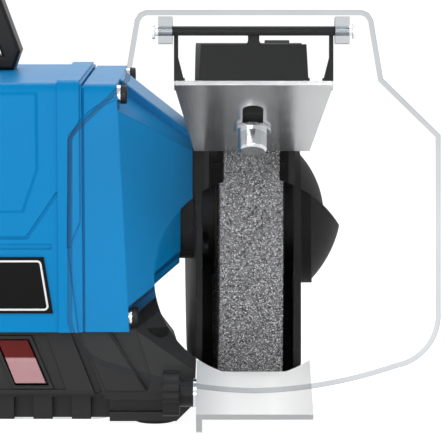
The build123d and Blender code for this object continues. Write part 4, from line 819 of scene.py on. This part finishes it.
# round heads in a ring on the guard covers, at angles up from the front
coverScrew = {
    "ring": 86.6 * mm, "angles": (120, 205, 298), "seat": wheelX + 19.5 * mm,
    "radius": 4 * mm, "length": 2.6 * mm, "chamfer": 0.4 * mm, "collar": 0.5 * mm,
    "socket": 2 * mm, "sink": 1.4 * mm, "knurls": 24, "knurl": 0.05 * mm,
    "finish": "zinc", "outerFinish": "zinc",
}
angles = [math.radians(a) for a in coverScrew["angles"]]
ring = [(-coverScrew["ring"] * math.cos(a), axisHeight + coverScrew["ring"] * math.sin(a)) for a in angles]
seats = [(side * coverScrew["seat"], y, z) for side in (1, -1) for y, z in ring]
placeScrews("coverScrews", coverScrew, seats, "zinc_steel", "cover_screws")
print("screws placed")

# white line round the plain plate, with rounded corners
border = {
    "inset": 1.3 * mm, "width": 0.9 * mm, "thick": 0.06 * mm, "corner": 1.6 * mm, "cornerSteps": 6,
    "topHalf": 71.5 * mm,
}
tree, given = newTree("plateBorder", {
    "Corner": "NodeSocketFloat", "Corner steps": "NodeSocketInt", "Width": "NodeSocketFloat",
    "Thickness": "NodeSocketFloat", "Ink": "NodeSocketMaterial",
})
path = add(tree, "GeometryNodeMeshToCurve", {"Mesh": given["Geometry"]}).outputs[0]
rounded = add(tree, "GeometryNodeFilletCurve", {
    "Curve": path, "Radius": given["Corner"], "Count": given["Corner steps"],
}, mode="POLY")
band = add(tree, "GeometryNodeCurvePrimitiveQuadrilateral", {
    "Width": given["Thickness"], "Height": given["Width"],
})
drawn = add(tree, "GeometryNodeCurveToMesh", {
    "Curve": rounded.outputs[0], "Profile Curve": band.outputs[0],
})
real = add(tree, "GeometryNodeRealizeInstances", {0: drawn.outputs[0]})
inked = add(tree, "GeometryNodeSetMaterial", {"Geometry": real.outputs[0], "Material": given["Ink"]})
add(tree, "NodeGroupOutput", {0: inked.outputs[0]})
low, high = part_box("nameplate")
middle = border["inset"] + border["width"] / 2              # of the line, from the plate's edge
slope = (high.x - border["topHalf"]) / (high.z - low.z)     # of the plate's two slanting ends
endInset = middle * math.hypot(1, slope)
top, bottom = high.z - middle, low.z + middle
topHalf = border["topHalf"] + slope * middle - endInset
lowHalf = high.x - slope * middle - endInset
corners = [
    (-topHalf, low.y, top), (topHalf, low.y, top), (lowHalf, low.y, bottom), (-lowHalf, low.y, bottom),
]
mesh = bpy.data.meshes.new("borderPath")
mesh.from_pydata(corners, [(0, 1), (1, 2), (2, 3), (3, 0)], [])
mesh = bakeTree(tree, mesh, {
    "Corner": border["corner"], "Corner steps": border["cornerSteps"], "Width": border["width"],
    "Thickness": border["thick"], "Ink": finishes["paleInk"],
})
addPiece("plateBorder", mesh, "frame", "plate_black")
print("plate border drawn:", len(mesh.polygons), "faces")


# a strength that is white where it is seen straight, mirrored or through glass, and plainer elsewhere
def backgroundLevel(tree, look):
    rays = add(tree, "ShaderNodeLightPath").outputs
    straight = add(tree, "ShaderNodeMath", {
        0: rays["Is Camera Ray"], 1: rays["Is Transmission Ray"],
    }, operation="MAXIMUM").outputs[0]
    seen = add(tree, "ShaderNodeMath", {
        0: straight, 1: rays["Is Glossy Ray"],
    }, operation="MAXIMUM").outputs[0]
    return add(tree, "ShaderNodeMapRange", {
        "Value": seen, "To Min": look["plain"], "To Max": look["white"],
    }).outputs[0]


# floor: pale, so that the object's shadow shows, and raised to white for the camera
floorLook = {
    "size": 12, "middle": (0, 2, 0), "low": "989898", "high": "a0a0a0", "mottle": 0.4,
    "plain": 0.6, "white": 0.95,
}
bpy.ops.mesh.primitive_plane_add(size=floorLook["size"], location=floorLook["middle"])
floor = bpy.context.object
paleFloor, tree = newMaterial("paleStudioFloor")
coords = add(tree, "ShaderNodeTexCoord").outputs["Object"]
mottle = add(tree, "ShaderNodeTexNoise", {
    "Vector": coords, "Scale": 1 / floorLook["mottle"], "Detail": 2,
}).outputs["Fac"]
paleTone = add(tree, "ShaderNodeMix", {
    0: mottle, 6: hexColor(floorLook["low"]), 7: hexColor(floorLook["high"]),
}, data_type="RGBA")
lit = add(tree, "ShaderNodeBsdfDiffuse", {"Color": paleTone.outputs[2]})
glow = add(tree, "ShaderNodeEmission", {"Strength": backgroundLevel(tree, floorLook)})
both = add(tree, "ShaderNodeAddShader", {0: lit.outputs[0], 1: glow.outputs[0]})
add(tree, "ShaderNodeOutputMaterial", {"Surface": both.outputs[0]})
floor.data.materials.append(paleFloor)

# world: even white all round
worldLook = {"plain": 0.32, "white": 1.0}
world = bpy.data.worlds.new("studio")
scene.world = world
world.use_nodes = True
tree = world.node_tree
tree.nodes.clear()
sky = add(tree, "ShaderNodeBackground", {
    "Color": hexColor("ffffff"), "Strength": backgroundLevel(tree, worldLook),
})
add(tree, "ShaderNodeOutputWorld", {"Surface": sky.outputs[0]})


# a soft lamp: place and aim in metres, power in watts
def softbox(name, place, aim, size, power):
    lamp = bpy.data.lights.new(name, "AREA")
    lamp.shape = "RECTANGLE"
    lamp.size, lamp.size_y = size
    lamp.energy = power
    obj = bpy.data.objects.new(name, lamp)
    scene.collection.objects.link(obj)
    obj.location = place
    obj.rotation_euler = (Vector(aim) - Vector(place)).to_track_quat("-Z", "Y").to_euler()


softbox("topBox", place=(0.05, 0.5, 1.1), aim=(0.1, 0, 0.15), size=(1.2, 0.9), power=9.5)
softbox("frontBox", place=(-0.4, -1.3, 0.6), aim=(0.05, 0, 0.1), size=(0.8, 0.8), power=3.8)
softbox("lowBox", place=(-0.1, -0.9, 0.08), aim=(0.05, 0, 0.06), size=(0.7, 0.15), power=2.0)
softbox("restBox", place=(0.3, -0.75, 0.75), aim=(0.165, -0.09, 0.03), size=(0.3, 0.2), power=1.7)
softbox("rightBox", place=(1.3, -0.4, 0.6), aim=(0.15, 0, 0.1), size=(0.6, 0.9), power=0.8)

shot = {"lens": 200.27, "sensor": 36, "tilt": 7.5, "from": (0.1517, -1.1633, 0.2383), "farthest": 50}
camera = bpy.data.objects.new("camera", bpy.data.cameras.new("camera"))
scene.collection.objects.link(camera)
camera.location = shot["from"]
camera.rotation_euler = (math.radians(90 - shot["tilt"]), 0, 0)
camera.data.lens = shot["lens"]
camera.data.sensor_width = shot["sensor"]
camera.data.clip_end = shot["farthest"]
scene.camera = camera
scene.view_settings.view_transform = "Standard"
print("stage set")
